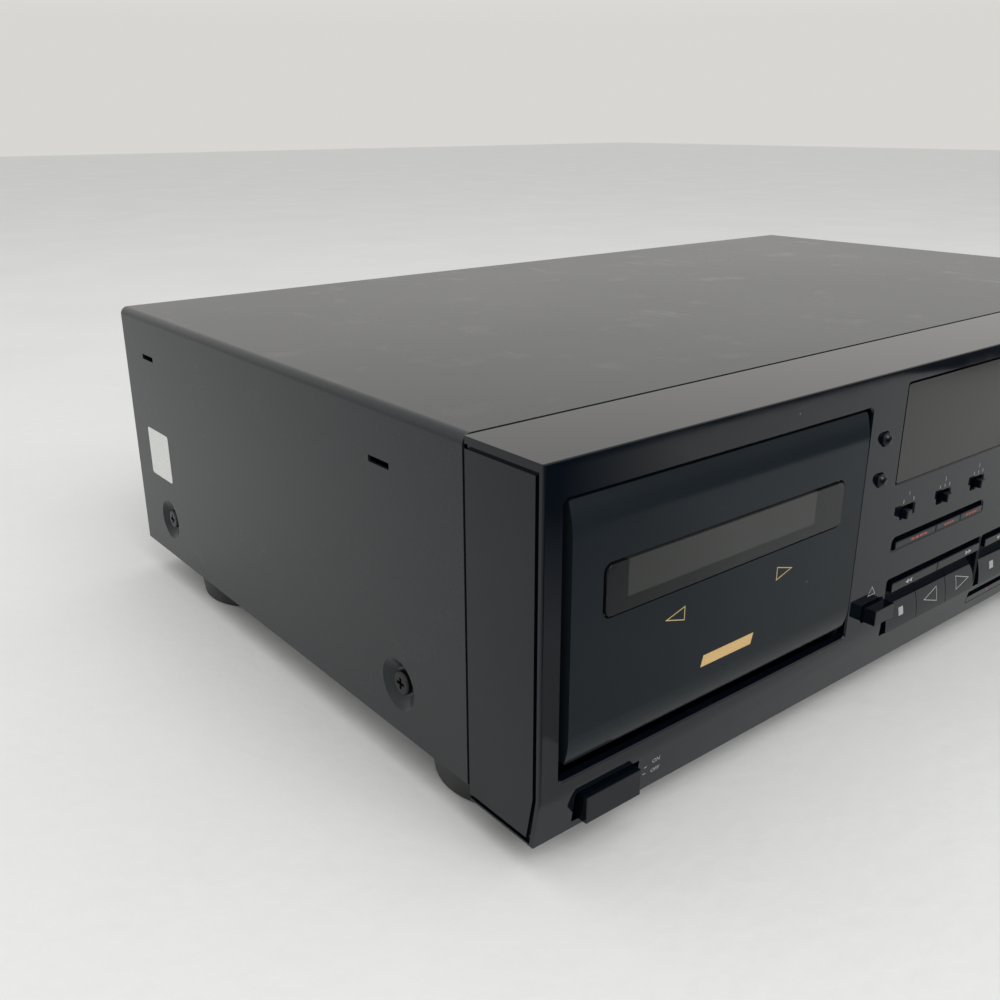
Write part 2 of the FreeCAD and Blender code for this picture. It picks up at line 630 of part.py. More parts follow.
def door():
    low, top = MOUTH_LOW + DOOR_LOW_GAP, MOUTH_TOP - DOOR_TOP_GAP
    sides = (MOUTH_LEFT + DOOR_SIDE_GAP, MOUTH_LEFT + MOUTH_W - DOOR_SIDE_GAP)
    profile = [(DOOR_BACK, low), (DOOR_LOW_EDGE, low), (-DOOR_PROUD, low + DOOR_LEAN_LOW, DOOR_BEND_LOW),
               (-DOOR_PROUD, top - DOOR_LEAN_TOP, DOOR_BEND_TOP), (DOOR_TOP_EDGE, top), (DOOR_BACK, top)]
    plate = prism("x", profile, sides)
    plate = plate.common(prism("y", rectangle(sides, (low, top), DOOR_R), (-9, 9)))
    x, z = window_span(WINDOW_GROOVE)
    plate = plate.cut(prism("y", rectangle(x, z, WINDOW_R + WINDOW_GROOVE), (-9, 9)))
    x, z = window_span(WINDOW_LIP + FIT)
    return plate.cut(prism("y", rectangle(x, z, WINDOW_R + WINDOW_LIP), (-WINDOW_REBATE, 9)))


def door_window():
    x, z = window_span(0)
    face = -DOOR_PROUD - WINDOW_PROUD
    pane = prism("y", rectangle(x, z, WINDOW_R), (face, DOOR_BACK))
    pane = rounded_edges(pane, WINDOW_RIM_R, lambda p: abs(p.y - face) < 0.01)
    x, z = window_span(WINDOW_LIP)
    return join([pane, prism("y", rectangle(x, z, WINDOW_R + WINDOW_LIP), (-WINDOW_REBATE, DOOR_BACK))])


def cassette_holder():
    """Tray behind the door: front plate, two channels, two ledges and two hinge pins."""
    middle = WELL_X
    top = TRAY_TOP
    plate = box((middle - TRAY_OUT, middle + TRAY_OUT), (DOOR_BACK, TRAY_FRONT), (HINGE_Z + 3, top))
    view = rectangle(window_span(-4)[0], (WINDOW_LOW - 2, WINDOW_LOW + WINDOW_H + 2), 2)
    plate = plate.cut(prism("y", view, (DOOR_BACK - 1, TRAY_FRONT + 1)))
    parts = [plate]
    for side in (-1, 1):
        wall = sorted((middle + side * TRAY_HALF, middle + side * TRAY_OUT))
        parts.append(box(wall, (DOOR_BACK, TRAY_BACK), (CASSETTE_LOW - TRAY_SHEET, top)))
        parts.append(box(wall, (DOOR_BACK, HINGE_Y + HINGE_BOSS_R), (HINGE_Z, CASSETTE_LOW)))
        parts.append(rod("x", (HINGE_Y, HINGE_Z), HINGE_BOSS_R, wall))
        lip = sorted((middle + side * (TRAY_HALF - TRAY_LIP), middle + side * TRAY_OUT))
        parts.append(box(lip, (TRAY_BACK, TRAY_BACK + TRAY_SHEET), (CASSETTE_LOW - TRAY_SHEET, top)))
        ledge = sorted((middle + side * (TRAY_HALF - 14), middle + side * TRAY_OUT))
        parts.append(box(ledge, (DOOR_BACK, TRAY_BACK), (CASSETTE_LOW - TRAY_SHEET, CASSETTE_LOW)))
        pin = sorted((middle + side * TRAY_HALF, middle + side * (TRAY_OUT + EAR_GAP + EAR_T + 0.4)))
        parts.append(rod("x", (HINGE_Y, HINGE_Z), HINGE_PIN_R, pin))
    return join(parts)


# ------------------------------------------------------------------ mechanism
def mech_frame():
    """Upright plate with hinge ears, bearings, guide studs, foot flange and the rear bridge."""
    middle = WELL_X
    plate = box((middle - FRAME_HALF, middle + FRAME_HALF), (FRAME_FRONT, FRAME_BACK), (PAN_TOP, FRAME_TOP))
    foot = box((middle - FRAME_HALF, middle + FRAME_HALF), (FRAME_FRONT, FRAME_BACK + FOOT_FLANGE),
               (PAN_TOP, PAN_TOP + FRAME_T))
    parts = [plate, foot]
    for side in (-1, 1):
        near = middle + side * (TRAY_OUT + EAR_GAP)
        ear = prism("x", [(EAR_FRONT, EAR_LOW, 1.5), (FRAME_BACK, EAR_LOW), (FRAME_BACK, EAR_TOP),
                          (EAR_FRONT, EAR_TOP, 1.5)], sorted((near, near + side * EAR_T)))
        parts.append(ear)
        capstan = (middle + side * CAPSTAN_X, CAPSTAN_Z)
        hub = (middle + side * HUB_PITCH / 2, HUB_Z)
        post = (middle + side * BRIDGE_POST_X, CAPSTAN_Z)
        guide = (middle + side * GUIDE_X, HEAD_BASE_TOP - 4)
        parts.append(rod("y", capstan, BEARING_R, (FRAME_BACK, FRAME_BACK + BEARING_LEN)))
        parts.append(rod("y", hub, BEARING_R + 1.5, (FRAME_FRONT - 2, FRAME_BACK)))
        parts.append(rod("y", post, BRIDGE_POST_R, (FRAME_BACK, BRIDGE_Y)))
        stud_y = FRAME_FRONT - FIT - HEAD_BASE_T
        parts.append(rod("y", guide, GUIDE_R, (stud_y - 0.6, FRAME_FRONT)))
        parts.append(rod("y", guide, GUIDE_R * 1.9, (stud_y - 1.4, stud_y - 0.3)))
    bridge = rectangle((middle - BRIDGE_HALF, middle + BRIDGE_HALF), (CAPSTAN_Z - 8, CAPSTAN_Z + 8), 3)
    arm = rectangle((middle + MOTOR_X - MOTOR_R * 0.7, middle + MOTOR_X + MOTOR_R * 0.7),
                    (CAPSTAN_Z, MOTOR_Z + MOTOR_R * 0.8), 2)
    for plan in (bridge, arm):
        parts.append(prism("y", plan, (BRIDGE_Y, BRIDGE_Y + BRIDGE_T)))
    motor = (middle + MOTOR_X, MOTOR_Z)
    tools = [rod("y", motor, MOTOR_SHAFT_R + 1.5, (BRIDGE_Y - 1, BRIDGE_Y + BRIDGE_T + 1))]
    for side in (-1, 1):
        tools.append(rod("y", (middle + side * CAPSTAN_X, CAPSTAN_Z), CAPSTAN_R + BORE_FIT,
                         (FRAME_FRONT - 1, FRAME_BACK + BEARING_LEN + 1)))
        tools.append(rod("y", (middle + side * HUB_PITCH / 2, HUB_Z), SPINDLE_SHAFT_R + BORE_FIT,
                         (FRAME_FRONT - 3, FRAME_BACK + 1)))
        tools.append(rod("x", (HINGE_Y, HINGE_Z), HINGE_PIN_R + BORE_FIT,
                         sorted((middle + side * TRAY_OUT, middle + side * (FRAME_HALF + 5)))))
    return cut(join(parts), tools)


def reel_spindle(side):
    """Six-finned spindle on a turntable; the plate lies between them."""
    centre = (WELL_X + side * HUB_PITCH / 2, HUB_Z)
    hub = cone_y(centre, (SPINDLE_R * 0.45, SPINDLE_R * 0.72), (SPINDLE_TIP, SPINDLE_TIP + 3))
    core = rod("y", centre, SPINDLE_R * 0.72, (SPINDLE_TIP + 3, FRAME_FRONT - 2 - FIT))
    shaft = rod("y", centre, SPINDLE_SHAFT_R, (SPINDLE_TIP + 3, FRAME_BACK + FIT + TURNTABLE_T))
    table = rod("y", centre, TURNTABLE_R, (FRAME_BACK + FIT, FRAME_BACK + FIT + TURNTABLE_T))
    fins = []
    for turn in range(3):
        fin = box((centre[0] - SPINDLE_R, centre[0] + SPINDLE_R), (SPINDLE_TIP + 2.4, FRAME_FRONT - 2 - FIT),
                  (HUB_Z - 0.6, HUB_Z + 0.6))
        fin.rotate(V(centre[0], 0, HUB_Z), V(0, 1, 0), 60 * turn)
        fins.append(fin)
    return join([hub, core, shaft, table] + fins)


def capstan_flywheel(side):
    centre = (WELL_X + side * CAPSTAN_X, CAPSTAN_Z)
    shaft = rod("y", centre, CAPSTAN_R, (CAPSTAN_TIP, BRIDGE_Y - 0.02))
    wheel = rod("y", centre, FLYWHEEL_R, (FLYWHEEL_Y, FLYWHEEL_Y + FLYWHEEL_T))
    hollow = tube("y", centre, FLYWHEEL_R - 3, 5, (FLYWHEEL_Y + FLYWHEEL_T - 1.6, FLYWHEEL_Y + FLYWHEEL_T + 1))
    return join([shaft, wheel.cut(hollow)])


def motor_pulley():
    centre = (WELL_X + MOTOR_X, MOTOR_Z)
    shaft = rod("y", centre, MOTOR_SHAFT_R, (FLYWHEEL_Y - 0.5, BRIDGE_Y + BRIDGE_T + 6))
    wheel = rod("y", centre, PULLEY_R, (FLYWHEEL_Y, FLYWHEEL_Y + FLYWHEEL_T))
    flanges = [rod("y", centre, PULLEY_R + 0.9, (y, y + 0.5))
               for y in (FLYWHEEL_Y - 0.5, FLYWHEEL_Y + FLYWHEEL_T)]
    return join([shaft, wheel] + flanges)


def capstan_motors():
    made = []
    for _, shift in DECKS:
        start = BRIDGE_Y + BRIDGE_T
        centre = (WELL_X + MOTOR_X, MOTOR_Z)
        can = rod("y", centre, MOTOR_R, (start, start + MOTOR_LEN))
        can = rounded_edges(can, 1.5, lambda p: abs(p.y - start - MOTOR_LEN) < 0.01)
        can = can.cut(rod("y", centre, MOTOR_SHAFT_R + BORE_FIT, (start - 1, start + 7)))
        made.append(shifted(can, shift))
    return Part.makeCompound(made)


def belt_loop(offset):
    """Belt route over pulley, left flywheel and the back of the right flywheel; offset to its left."""
    stops = [(V(WELL_X + MOTOR_X, MOTOR_Z, 0), PULLEY_R, 1),
             (V(WELL_X - CAPSTAN_X, CAPSTAN_Z, 0), FLYWHEEL_R, 1),
             (V(WELL_X + CAPSTAN_X, CAPSTAN_Z, 0), FLYWHEEL_R, -1)]
    rounds = [(centre, radius + BELT_GAP + BELT_T / 2 - turn * offset, turn) for centre, radius, turn in stops]
    leaving, arriving = [], []
    for index, (centre, radius, turn) in enumerate(rounds):
        other, other_radius, other_turn = rounds[(index + 1) % len(rounds)]
        gap = other - centre
        way = math.atan2(gap.y, gap.x) - math.asin((other_turn * other_radius - turn * radius) / gap.Length)
        normal = V(-math.sin(way), math.cos(way), 0)
        leaving.append(centre - normal * turn * radius)
        arriving.append(other - normal * other_turn * other_radius)
    edges = []
    for index, (centre, radius, turn) in enumerate(rounds):
        start, end = arriving[index - 1], leaving[index]
        first = math.atan2(start.y - centre.y, start.x - centre.x)
        last = math.atan2(end.y - centre.y, end.x - centre.x)
        sweep = (last - first) % (2 * math.pi) if turn > 0 else -((first - last) % (2 * math.pi))
        crown = centre + V(math.cos(first + sweep / 2), math.sin(first + sweep / 2), 0) * radius
        edges.append(Part.Arc(*[V(p.x, 0, p.y) for p in (start, crown, end)]).toShape())
        following = arriving[index]
        edges.append(Part.makeLine(V(end.x, 0, end.y), V(following.x, 0, following.y)))
    return Part.Face(Part.Wire(edges))


def drive_belts():
    outer, inner = belt_loop(-BELT_T / 2), belt_loop(BELT_T / 2)
    start = FLYWHEEL_Y + (FLYWHEEL_T - BELT_W) / 2
    band = outer.extrude(V(0, BELT_W, 0)).cut(inner.extrude(V(0, BELT_W, 0)))
    band.translate(V(0, start, 0))
    return Part.makeCompound([shifted(band, shift) for _, shift in DECKS])


def head_base():
    """Sliding plate with the tape head and two pinch rollers."""
    middle = WELL_X
    back = FRAME_FRONT - FIT
    front = back - HEAD_BASE_T
    plate = prism("y", rectangle((middle - HEAD_BASE_HALF, middle + HEAD_BASE_HALF),
                                 (HEAD_BASE_LOW, HEAD_BASE_TOP), 2), (front, back))
    slots = []
    for side in (-1, 1):
        guide_x, guide_z = middle + side * GUIDE_X, HEAD_BASE_TOP - 4
        slot = rectangle((guide_x - GUIDE_R - 0.1, guide_x + GUIDE_R + 0.1),
                         (guide_z - GUIDE_R - 0.2 - HEAD_LIFT, guide_z + GUIDE_R + 0.2), GUIDE_R)
        slots.append(prism("y", slot, (front - 1, back + 1)))
    parts = [cut(plate, slots)]
    head = box((middle - HEAD_W / 2, middle + HEAD_W / 2), (TRAY_FRONT + 3, front),
               (HEAD_BASE_TOP - 6, HEAD_TOP))
    parts.append(rounded_edges(head, 2, lambda p: abs(p.z - HEAD_TOP) < 0.01
                               and abs(abs(p.x - middle) - HEAD_W / 2) < 0.01))
    for side in (-1, 1):
        spot = (middle + side * CAPSTAN_X, ROLLER_Z)
        parts.append(rod("y", spot, 1.2, (TRAY_FRONT + 4, front)))
        parts.append(rod("y", spot, ROLLER_R, (TRAY_FRONT + 4.5, front - 2)))
    return join(parts)


# ------------------------------------------------------------------ display and controls
def display_lens():
    x = (-LENS_HALF + LENS_GAP, LENS_HALF - LENS_GAP)
    z = (LENS_LOW + LENS_GAP, LENS_TOP - LENS_GAP)
    pane = prism("y", rectangle(x, z, LENS_R), (0.15, WALL))
    wide = [(x[0] - LENS_LIP, x[1] + LENS_LIP), (z[0] - LENS_LIP, z[1] + LENS_LIP)]
    return join([pane, prism("y", rectangle(*wide, LENS_R), (WALL, WALL + 1.2))])


def display_tube():
    face = rectangle((-LENS_HALF + TUBE_IN, LENS_HALF - TUBE_IN), (LENS_LOW + 4, LENS_TOP - 4), 1.5)
    glass = prism("y", face, (BOARD_FRONT - TUBE_T, BOARD_FRONT))
    return rounded_edges(glass, 0.8, lambda p: abs(p.y - BOARD_FRONT + TUBE_T) < 0.01)


def control_board():
    """Upright board with its soldered switches and the dial's control."""
    board = box((-BOARD_HALF, BOARD_HALF), (BOARD_FRONT, BOARD_FRONT + BOARD_T), (BOARD_LOW, BOARD_TOP))
    notch = box((PHONES_X - 9, BOARD_HALF + 1), (BOARD_FRONT - 1, BOARD_FRONT + BOARD_T + 1),
                (BOARD_LOW - 1, PHONES_Z + 9))
    parts = [board.cut(notch)]
    for x, z in switch_places():
        parts.append(box((x - 3, x + 3), (KEY_ROOT + KEY_TRAVEL + 2.6, BOARD_FRONT + 0.3), (z - 2, z + 2)))
        parts.append(rod("y", (x, z), 1.2, (KEY_ROOT + KEY_TRAVEL + 0.3, BOARD_FRONT)))
    pot = box((DIAL_X - POT_SIZE / 2, DIAL_X + POT_SIZE / 2), (BOARD_FRONT - POT_T, BOARD_FRONT + 0.3),
              (DIAL_Z - POT_SIZE / 2, DIAL_Z + POT_SIZE / 2))
    neck = rod("y", (DIAL_X, DIAL_Z), DIAL_SHAFT_R + 1.5, (WALL + 1.5, BOARD_FRONT - POT_T + 1))
    bore = rod("y", (DIAL_X, DIAL_Z), DIAL_SHAFT_R + BORE_FIT, (WALL, BOARD_FRONT - 1))
    parts += [pot, neck]
    return join(parts).cut(bore)


def key_rows():
    """Name, X span and Z span of each deck key, at the left deck's group."""
    width = CLUSTER_RIGHT - FIT - KEYS_LEFT
    rows = []
    upper, lower = (KEYS_STEP, KEYS_TOP), (CLUSTER_LOW + FIT, KEYS_STEP - FIT)
    for count, names, z in ((2, ("rewind", "fast_forward"), upper),
                            (3, ("stop", "reverse_play", "forward_play"), lower)):
        for index, name in enumerate(names):
            left = KEYS_LEFT + index * (width + FIT) / count
            rows.append((name, (left, left + (width + FIT) / count - FIT), z))
    return rows


def copy_key_span(index):
    sides = COPY_SPLITS + (COPY_RIGHT,)
    return (sides[index], sides[index + 1] - FIT)


def row_key_span(index):
    step = (ROW_RIGHT - ROW_LEFT - FIT) / 2
    return (ROW_LEFT + FIT + index * step, ROW_LEFT + (index + 1) * step)


def switch_places():
    places = []
    for _, shift in CLUSTERS:
        places += [((x[0] + x[1]) / 2 + shift, (z[0] + z[1]) / 2) for _, x, z in key_rows()]
    places += [(sum(copy_key_span(index)) / 2, (COPY_LOW + COPY_KEYS_TOP) / 2) for index in range(3)]
    places += [(sum(row_key_span(index)) / 2, BOARD_LOW + 2.4) for index in range(2)]
    places += [(side * -EJECT_X, EJECT_Z) for side in (-1, 1)]
    places += [(BUTTON_X, z) for z in BUTTON_ZS]
    return places


def upper_key(x, z):
    cap = box(x, (-0.2, KEY_ROOT), z)
    cap = rounded_edges(cap, 0.35, lambda p: abs(p.y + 0.2) < 0.01)
    stop = box(x, (WALL + 0.05, WALL + KEY_LIP_T), (z[1] - 1, CLUSTER_TOP + KEY_LIP))
    return join([cap, stop])


def lower_key(x, z):
    """Key whose face starts flush and upright at its foot and rolls back towards its head."""
    low, top = z
    rise = top - low
    radius = (rise ** 2 + SCOOP_DEPTH ** 2) / (2 * SCOOP_DEPTH)
    crown = (radius - math.sqrt(radius ** 2 - rise ** 2 / 4), low + rise / 2)
    points = [V(x[0], *p) for p in ((0, low), crown, (SCOOP_DEPTH, top), (KEY_ROOT, top), (KEY_ROOT, low))]
    edges = [Part.Arc(points[0], points[1], points[2]).toShape(), Part.makeLine(points[2], points[3]),
             Part.makeLine(points[3], points[4]), Part.makeLine(points[4], points[0])]
    cap = Part.Face(Part.Wire(edges)).extrude(V(x[1] - x[0], 0, 0))
    stop = box(x, (wall_back(CLUSTER_LOW - KEY_LIP) + 0.1, WALL + STRIP_BACK + KEY_LIP_T),
               (CLUSTER_LOW - KEY_LIP, low + 1))
    return join([cap, stop])


def copy_key(index):
    x = copy_key_span(index)
    cap = box(x, (-0.1, KEY_ROOT), (COPY_LOW, COPY_KEYS_TOP))
    cap = rounded_edges(cap, 0.35, lambda p: abs(p.y + 0.1) < 0.01)
    stop = box(x, (WALL + 0.05, WALL + KEY_LIP_T), (COPY_KEYS_TOP - 1, COPY_TOP + KEY_LIP))
    return join([cap, stop])


def row_key(index):
    """Key of the lower strip: its face leans back with the strip."""
    x = row_key_span(index)
    low, top = ROW_LOW + FIT, ROW_KEYS_TOP
    cap = prism("x", [(strip_face(low), low), (strip_face(top), top), (KEY_ROOT, top), (KEY_ROOT, low)], x)
    stop = box(x, (wall_back(ROW_TOP) + 0.2, KEY_ROOT), (top - 1, ROW_TOP + KEY_LIP - 0.4))
    return join([cap, stop])


def eject_key(x):
    """Plain proud key with a flange behind the wall."""
    half_w, half_h = EJECT_W / 2, EJECT_H / 2
    cap = box((x - half_w, x + half_w), (-EJECT_PROUD, KEY_ROOT), (EJECT_Z - half_h, EJECT_Z + half_h))
    cap = rounded_edges(cap, KEY_EDGE, lambda p: abs(p.y + EJECT_PROUD) < 0.01)
    stop = box((x - half_w - KEY_LIP, x + half_w + KEY_LIP), (WALL + 0.1, WALL + 0.1 + KEY_LIP_T),
               (EJECT_Z - half_h - KEY_LIP, EJECT_Z + half_h + KEY_LIP))
    return join([cap, stop])


def power_key():
    """Wide proud key; its flange stands clear of the pan below."""
    half_w, half_h = POWER_W / 2, POWER_H / 2
    cap = box((POWER_X - half_w, POWER_X + half_w), (-POWER_PROUD, KEY_ROOT),
              (POWER_Z - half_h, POWER_Z + half_h))
    cap = rounded_edges(cap, KEY_EDGE, lambda p: abs(p.y + POWER_PROUD) < 0.01)
    back = wall_back(POWER_Z - half_h) + 0.1
    wing = half_w + POWER_SIDE_GAP + KEY_LIP
    stop = box((POWER_X - wing, POWER_X + wing), (back, back + KEY_LIP_T),
               (POWER_Z - half_h, POWER_Z + half_h + POWER_GAP + KEY_LIP))
    return join([cap, stop])


def round_button(z):
    cap = rod("y", (BUTTON_X, z), BUTTON_R, (-BUTTON_PROUD, KEY_ROOT))
    cap = rounded_edges(cap, BUTTON_R * BUTTON_DOME, lambda p: abs(p.y + BUTTON_PROUD) < 0.01)
    stop = rod("y", (BUTTON_X, z), BUTTON_R + FIT + KEY_LIP, (WALL + 0.05, WALL + KEY_LIP_T))
    return join([cap, stop])


def switch_lever(index):
    """Slide switch lever at its rest in the slot, with a sliding shield behind the wall."""
    middle = SWITCH_X + index * SWITCH_PITCH
    x = middle + (SWITCH_RESTS[index] - 0.5) * SWITCH_TRAVEL
    cap = box((x - LEVER_W / 2, x + LEVER_W / 2), (-LEVER_PROUD, BOARD_FRONT - 1.5),
              (SWITCH_Z - LEVER_H / 2, SWITCH_Z + LEVER_H / 2))
    cap = rounded_edges(cap, 0.4, lambda p: abs(p.y + LEVER_PROUD) < 0.01)
    shield = box((x - SWITCH_W / 2, x + SWITCH_W / 2), (WALL + 0.1, WALL + 0.9),
                 (SWITCH_Z - SWITCH_H / 2 - 1, SWITCH_Z + SWITCH_H / 2 + 1))
    foot = box((x - LEVER_W, x + LEVER_W), (BOARD_FRONT - 2.5, BOARD_FRONT),
               (SWITCH_Z - LEVER_H, SWITCH_Z + LEVER_H))
    return join([cap, shield, foot])


def level_dial():
    centre = (DIAL_X, DIAL_Z)
    body = cone_y(centre, (DIAL_R - 0.5, DIAL_R), (-DIAL_REACH, -1.2))
    body = rounded_edges(body, 1.2, lambda p: abs(p.y + DIAL_REACH) < 0.01)
    grips = []
    for index in range(30):
        grip = rod("y", (DIAL_X + DIAL_R + 0.25, DIAL_Z), 0.7, (-DIAL_REACH + 1.8, -1))
        grip.rotate(V(DIAL_X, 0, DIAL_Z), V(0, 1, 0), 12 * index)
        grips.append(grip)
    mark = box((DIAL_X - 0.6, DIAL_X + 0.6), (-DIAL_REACH - 1, -DIAL_REACH + 0.4),
               (DIAL_Z + DIAL_R * 0.35, DIAL_Z + DIAL_R))
    skirt = rod("y", centre, DIAL_R + 0.8, (-1.2, -FIT))
    shaft = rod("y", centre, DIAL_SHAFT_R, (-1.2, BOARD_FRONT - 1.2))
    return join([cut(body, grips + [mark]), skirt, shaft])


def phones_jack():
    centre = (PHONES_X, PHONES_Z)
    seat = STRIP_BACK
    ring = rod("y", centre, PHONES_RING, (seat - 1.6, seat))
    ring = rounded_edges(ring, 0.5, lambda p: abs(p.y - seat + 1.6) < 0.01)
    bush = rod("y", centre, PHONES_BUSH, (seat - 0.5, WALL + STRIP_BACK + 1))
    block = box((PHONES_X - 6.2, PHONES_X + 6.2), (WALL + STRIP_BACK, seat + PHONES_DEPTH),
                (PAN_TOP, PHONES_Z + 6.2))
    bore = rod("y", centre, PHONES_BORE, (0, seat + PHONES_DEPTH - 4))
    return join([ring, bush, block]).cut(bore)


def main_board():
    """Board on four standoffs with capacitors, a heat sink and three larger chips."""
    x, y = MAIN_BOARD_X, MAIN_BOARD_Y
    parts = [box(x, y, (MAIN_BOARD_Z, MAIN_BOARD_Z + BOARD_T))]
    for stand_x in (x[0] + STANDOFF_IN, x[1] - STANDOFF_IN):
        for stand_y in (y[0] + STANDOFF_IN, y[1] - STANDOFF_IN):
            parts.append(rod("z", (stand_x, stand_y), STANDOFF_R, (PAN_TOP, MAIN_BOARD_Z + 0.3)))
    top = MAIN_BOARD_Z + BOARD_T - 0.2
    for index in range(4):
        spot = (x[1] - CAPACITOR_IN[0] - CAPACITOR_PITCH * index, y[0] + CAPACITOR_IN[1])
        parts.append(rod("z", spot, CAPACITOR_R, (top, top + CAPACITOR_H)))
    for index in range(3):
        left, front = x[0] + CHIP_IN[0] + CHIP_PITCH * index, y[0] + CHIP_IN[1]
        parts.append(box((left, left + CHIP[0]), (front, front + CHIP[1]), (top, top + CHIP[2])))
    right, rear = x[1] - SINK_IN[0], y[1] - SINK_IN[1]
    parts.append(box((right - SINK[0], right), (rear - SINK[1], rear), (top, top + SINK[2])))
    return join(parts)


def transformer():
    width, depth, height = TRANSFORMER
    x = (TRANSFORMER_X - width / 2, TRANSFORMER_X + width / 2)
    y = (TRANSFORMER_Y, TRANSFORMER_Y + depth)
    core = box((x[0] + CORE_IN[0], x[1] - CORE_IN[0]), (y[0] + CORE_IN[1], y[1] - CORE_IN[1]),
               (PAN_TOP, PAN_TOP + height))
    coil = box((x[0] + COIL_IN[0], x[1] - COIL_IN[0]), y, (PAN_TOP + COIL_IN[1], PAN_TOP + height - COIL_IN[1]))
    coil = rounded_edges(coil, 5, lambda p: p.y in y and abs(p.z - PAN_TOP - height / 2) < 0.01)
    strip = box(x, (y[0] + 18, y[1] - 18), (PAN_TOP, PAN_TOP + 1.5))
    return join([core, coil, strip])


# ------------------------------------------------------------------ the whole deck
def all_pieces():
    pieces = {"front_bezel": front_bezel(), "top_cover": top_cover(), "cover_screws": cover_screws(),
              "feet": feet(), "chassis": chassis(), "rear_panel": rear_panel(), "line_jacks": line_jacks(),
              "cord_bush": cord_bush(), "display_lens": display_lens(),
              "display_tube": display_tube(), "control_board": control_board(), "main_board": main_board(),
              "transformer": transformer(), "phones_jack": phones_jack(), "capstan_motors": capstan_motors(),
              "drive_belts": drive_belts(), "power_key": power_key(), "level_dial": level_dial()}
    for deck, shift in DECKS:
        pieces["door_" + deck] = shifted(door(), shift)
        pieces["door_window_" + deck] = shifted(door_window(), shift)
        pieces["cassette_holder_" + deck] = shifted(cassette_holder(), shift)
        pieces["mech_frame_" + deck] = shifted(mech_frame(), shift)
        pieces["head_base_" + deck] = shifted(head_base(), shift)
        pieces["motor_pulley_" + deck] = shifted(motor_pulley(), shift)
        for side, name in ((-1, "left"), (1, "right")):
            pieces["reel_spindle_" + deck + "_" + name] = shifted(reel_spindle(side), shift)
            pieces["flywheel_" + deck + "_" + name] = shifted(capstan_flywheel(side), shift)
    for deck, shift in CLUSTERS:
        for name, x, z in key_rows():
            shape = upper_key(x, z) if z[0] == KEYS_STEP else lower_key(x, z)
            pieces[name + "_key_" + deck] = shifted(shape, shift)
    for side, deck in ((1, "a"), (-1, "b")):
        pieces["eject_key_" + deck] = eject_key(side * EJECT_X)
    for name, z in zip(("counter_reset_button", "memory_button"), BUTTON_ZS):
        pieces[name] = round_button(z)
    for index in range(3):
        pieces["switch_lever_%d" % (index + 1)] = switch_lever(index)
        pieces["copy_key_%d" % (index + 1)] = copy_key(index)
    for index, name in enumerate(("record_key", "pause_key")):
        pieces[name] = row_key(index)
    return pieces


os.makedirs("parts", exist_ok=True)
for node, shape in all_pieces().items():
    shape = shape.copy()
    shape.translate(SHIFT)
    print("%-24s solids %d valid %s volume %.1f" % (node, len(shape.Solids), shape.isValid(), shape.Volume))
    shape.exportStep("parts/" + node + ".step")
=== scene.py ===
"""Looks of the cassette duplicator: finishes for its pieces, its printed marks, light, floor and camera.

Lengths in the helpers are millimetres from the middle of the front panel's lower edge
(X right, Y back, Z up); spot() turns them into the row's frame in metres.
"""
import bpy
import bmesh
import json
import math
from mathutils import Matrix, Vector


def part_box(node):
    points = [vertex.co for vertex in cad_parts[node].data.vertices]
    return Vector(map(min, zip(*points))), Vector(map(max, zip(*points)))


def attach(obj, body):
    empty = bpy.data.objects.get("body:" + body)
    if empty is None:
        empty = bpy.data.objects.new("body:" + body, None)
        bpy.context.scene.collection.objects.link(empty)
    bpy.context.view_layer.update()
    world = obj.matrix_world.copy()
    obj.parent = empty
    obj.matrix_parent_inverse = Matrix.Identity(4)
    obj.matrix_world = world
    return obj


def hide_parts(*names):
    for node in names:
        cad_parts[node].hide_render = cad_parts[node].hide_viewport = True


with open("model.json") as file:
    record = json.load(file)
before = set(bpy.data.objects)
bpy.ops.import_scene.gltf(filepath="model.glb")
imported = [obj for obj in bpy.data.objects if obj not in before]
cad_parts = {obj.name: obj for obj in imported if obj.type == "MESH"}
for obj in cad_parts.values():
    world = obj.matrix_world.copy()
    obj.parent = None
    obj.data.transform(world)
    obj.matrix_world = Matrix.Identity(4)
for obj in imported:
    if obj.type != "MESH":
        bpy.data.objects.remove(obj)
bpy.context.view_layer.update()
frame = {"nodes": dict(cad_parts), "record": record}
MM = 0.001
PANEL_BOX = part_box("front_bezel")
FACE_Y = PANEL_BOX[0].y
PANEL_LOW = PANEL_BOX[0].z
COVER_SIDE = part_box("top_cover")[0].x
TOP_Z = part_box("top_cover")[1].z
SLOT_OF = {entry["node"]: entry["material_slot"] for entry in frame["record"]["subparts"]}
BODY_OF = {node: body for body, nodes in frame["record"]["behaviour"]["bodies"].items() for node in nodes}

STRIP_TOP, STRIP_BACK = 15.0, 2.5      # crease of the leaning lower strip, set-back of its foot
DOOR_FACE = -1.05                      # flat stretch of a door
KEY_FOOT, KEY_RISE, KEY_ROLL = 11.6, 15.1, 4.0     # lower deck key: foot, height, set-back of its head
UPPER_KEY_FACE, COPY_KEY_FACE = -0.2, -0.1
DECK_PITCH = 292.7                     # from deck A to deck B
CLUSTER_PITCH = 62.5                   # from the keys of deck A to those of deck B
CREASE = 28.0                          # degrees between faces from which an edge stays crisp

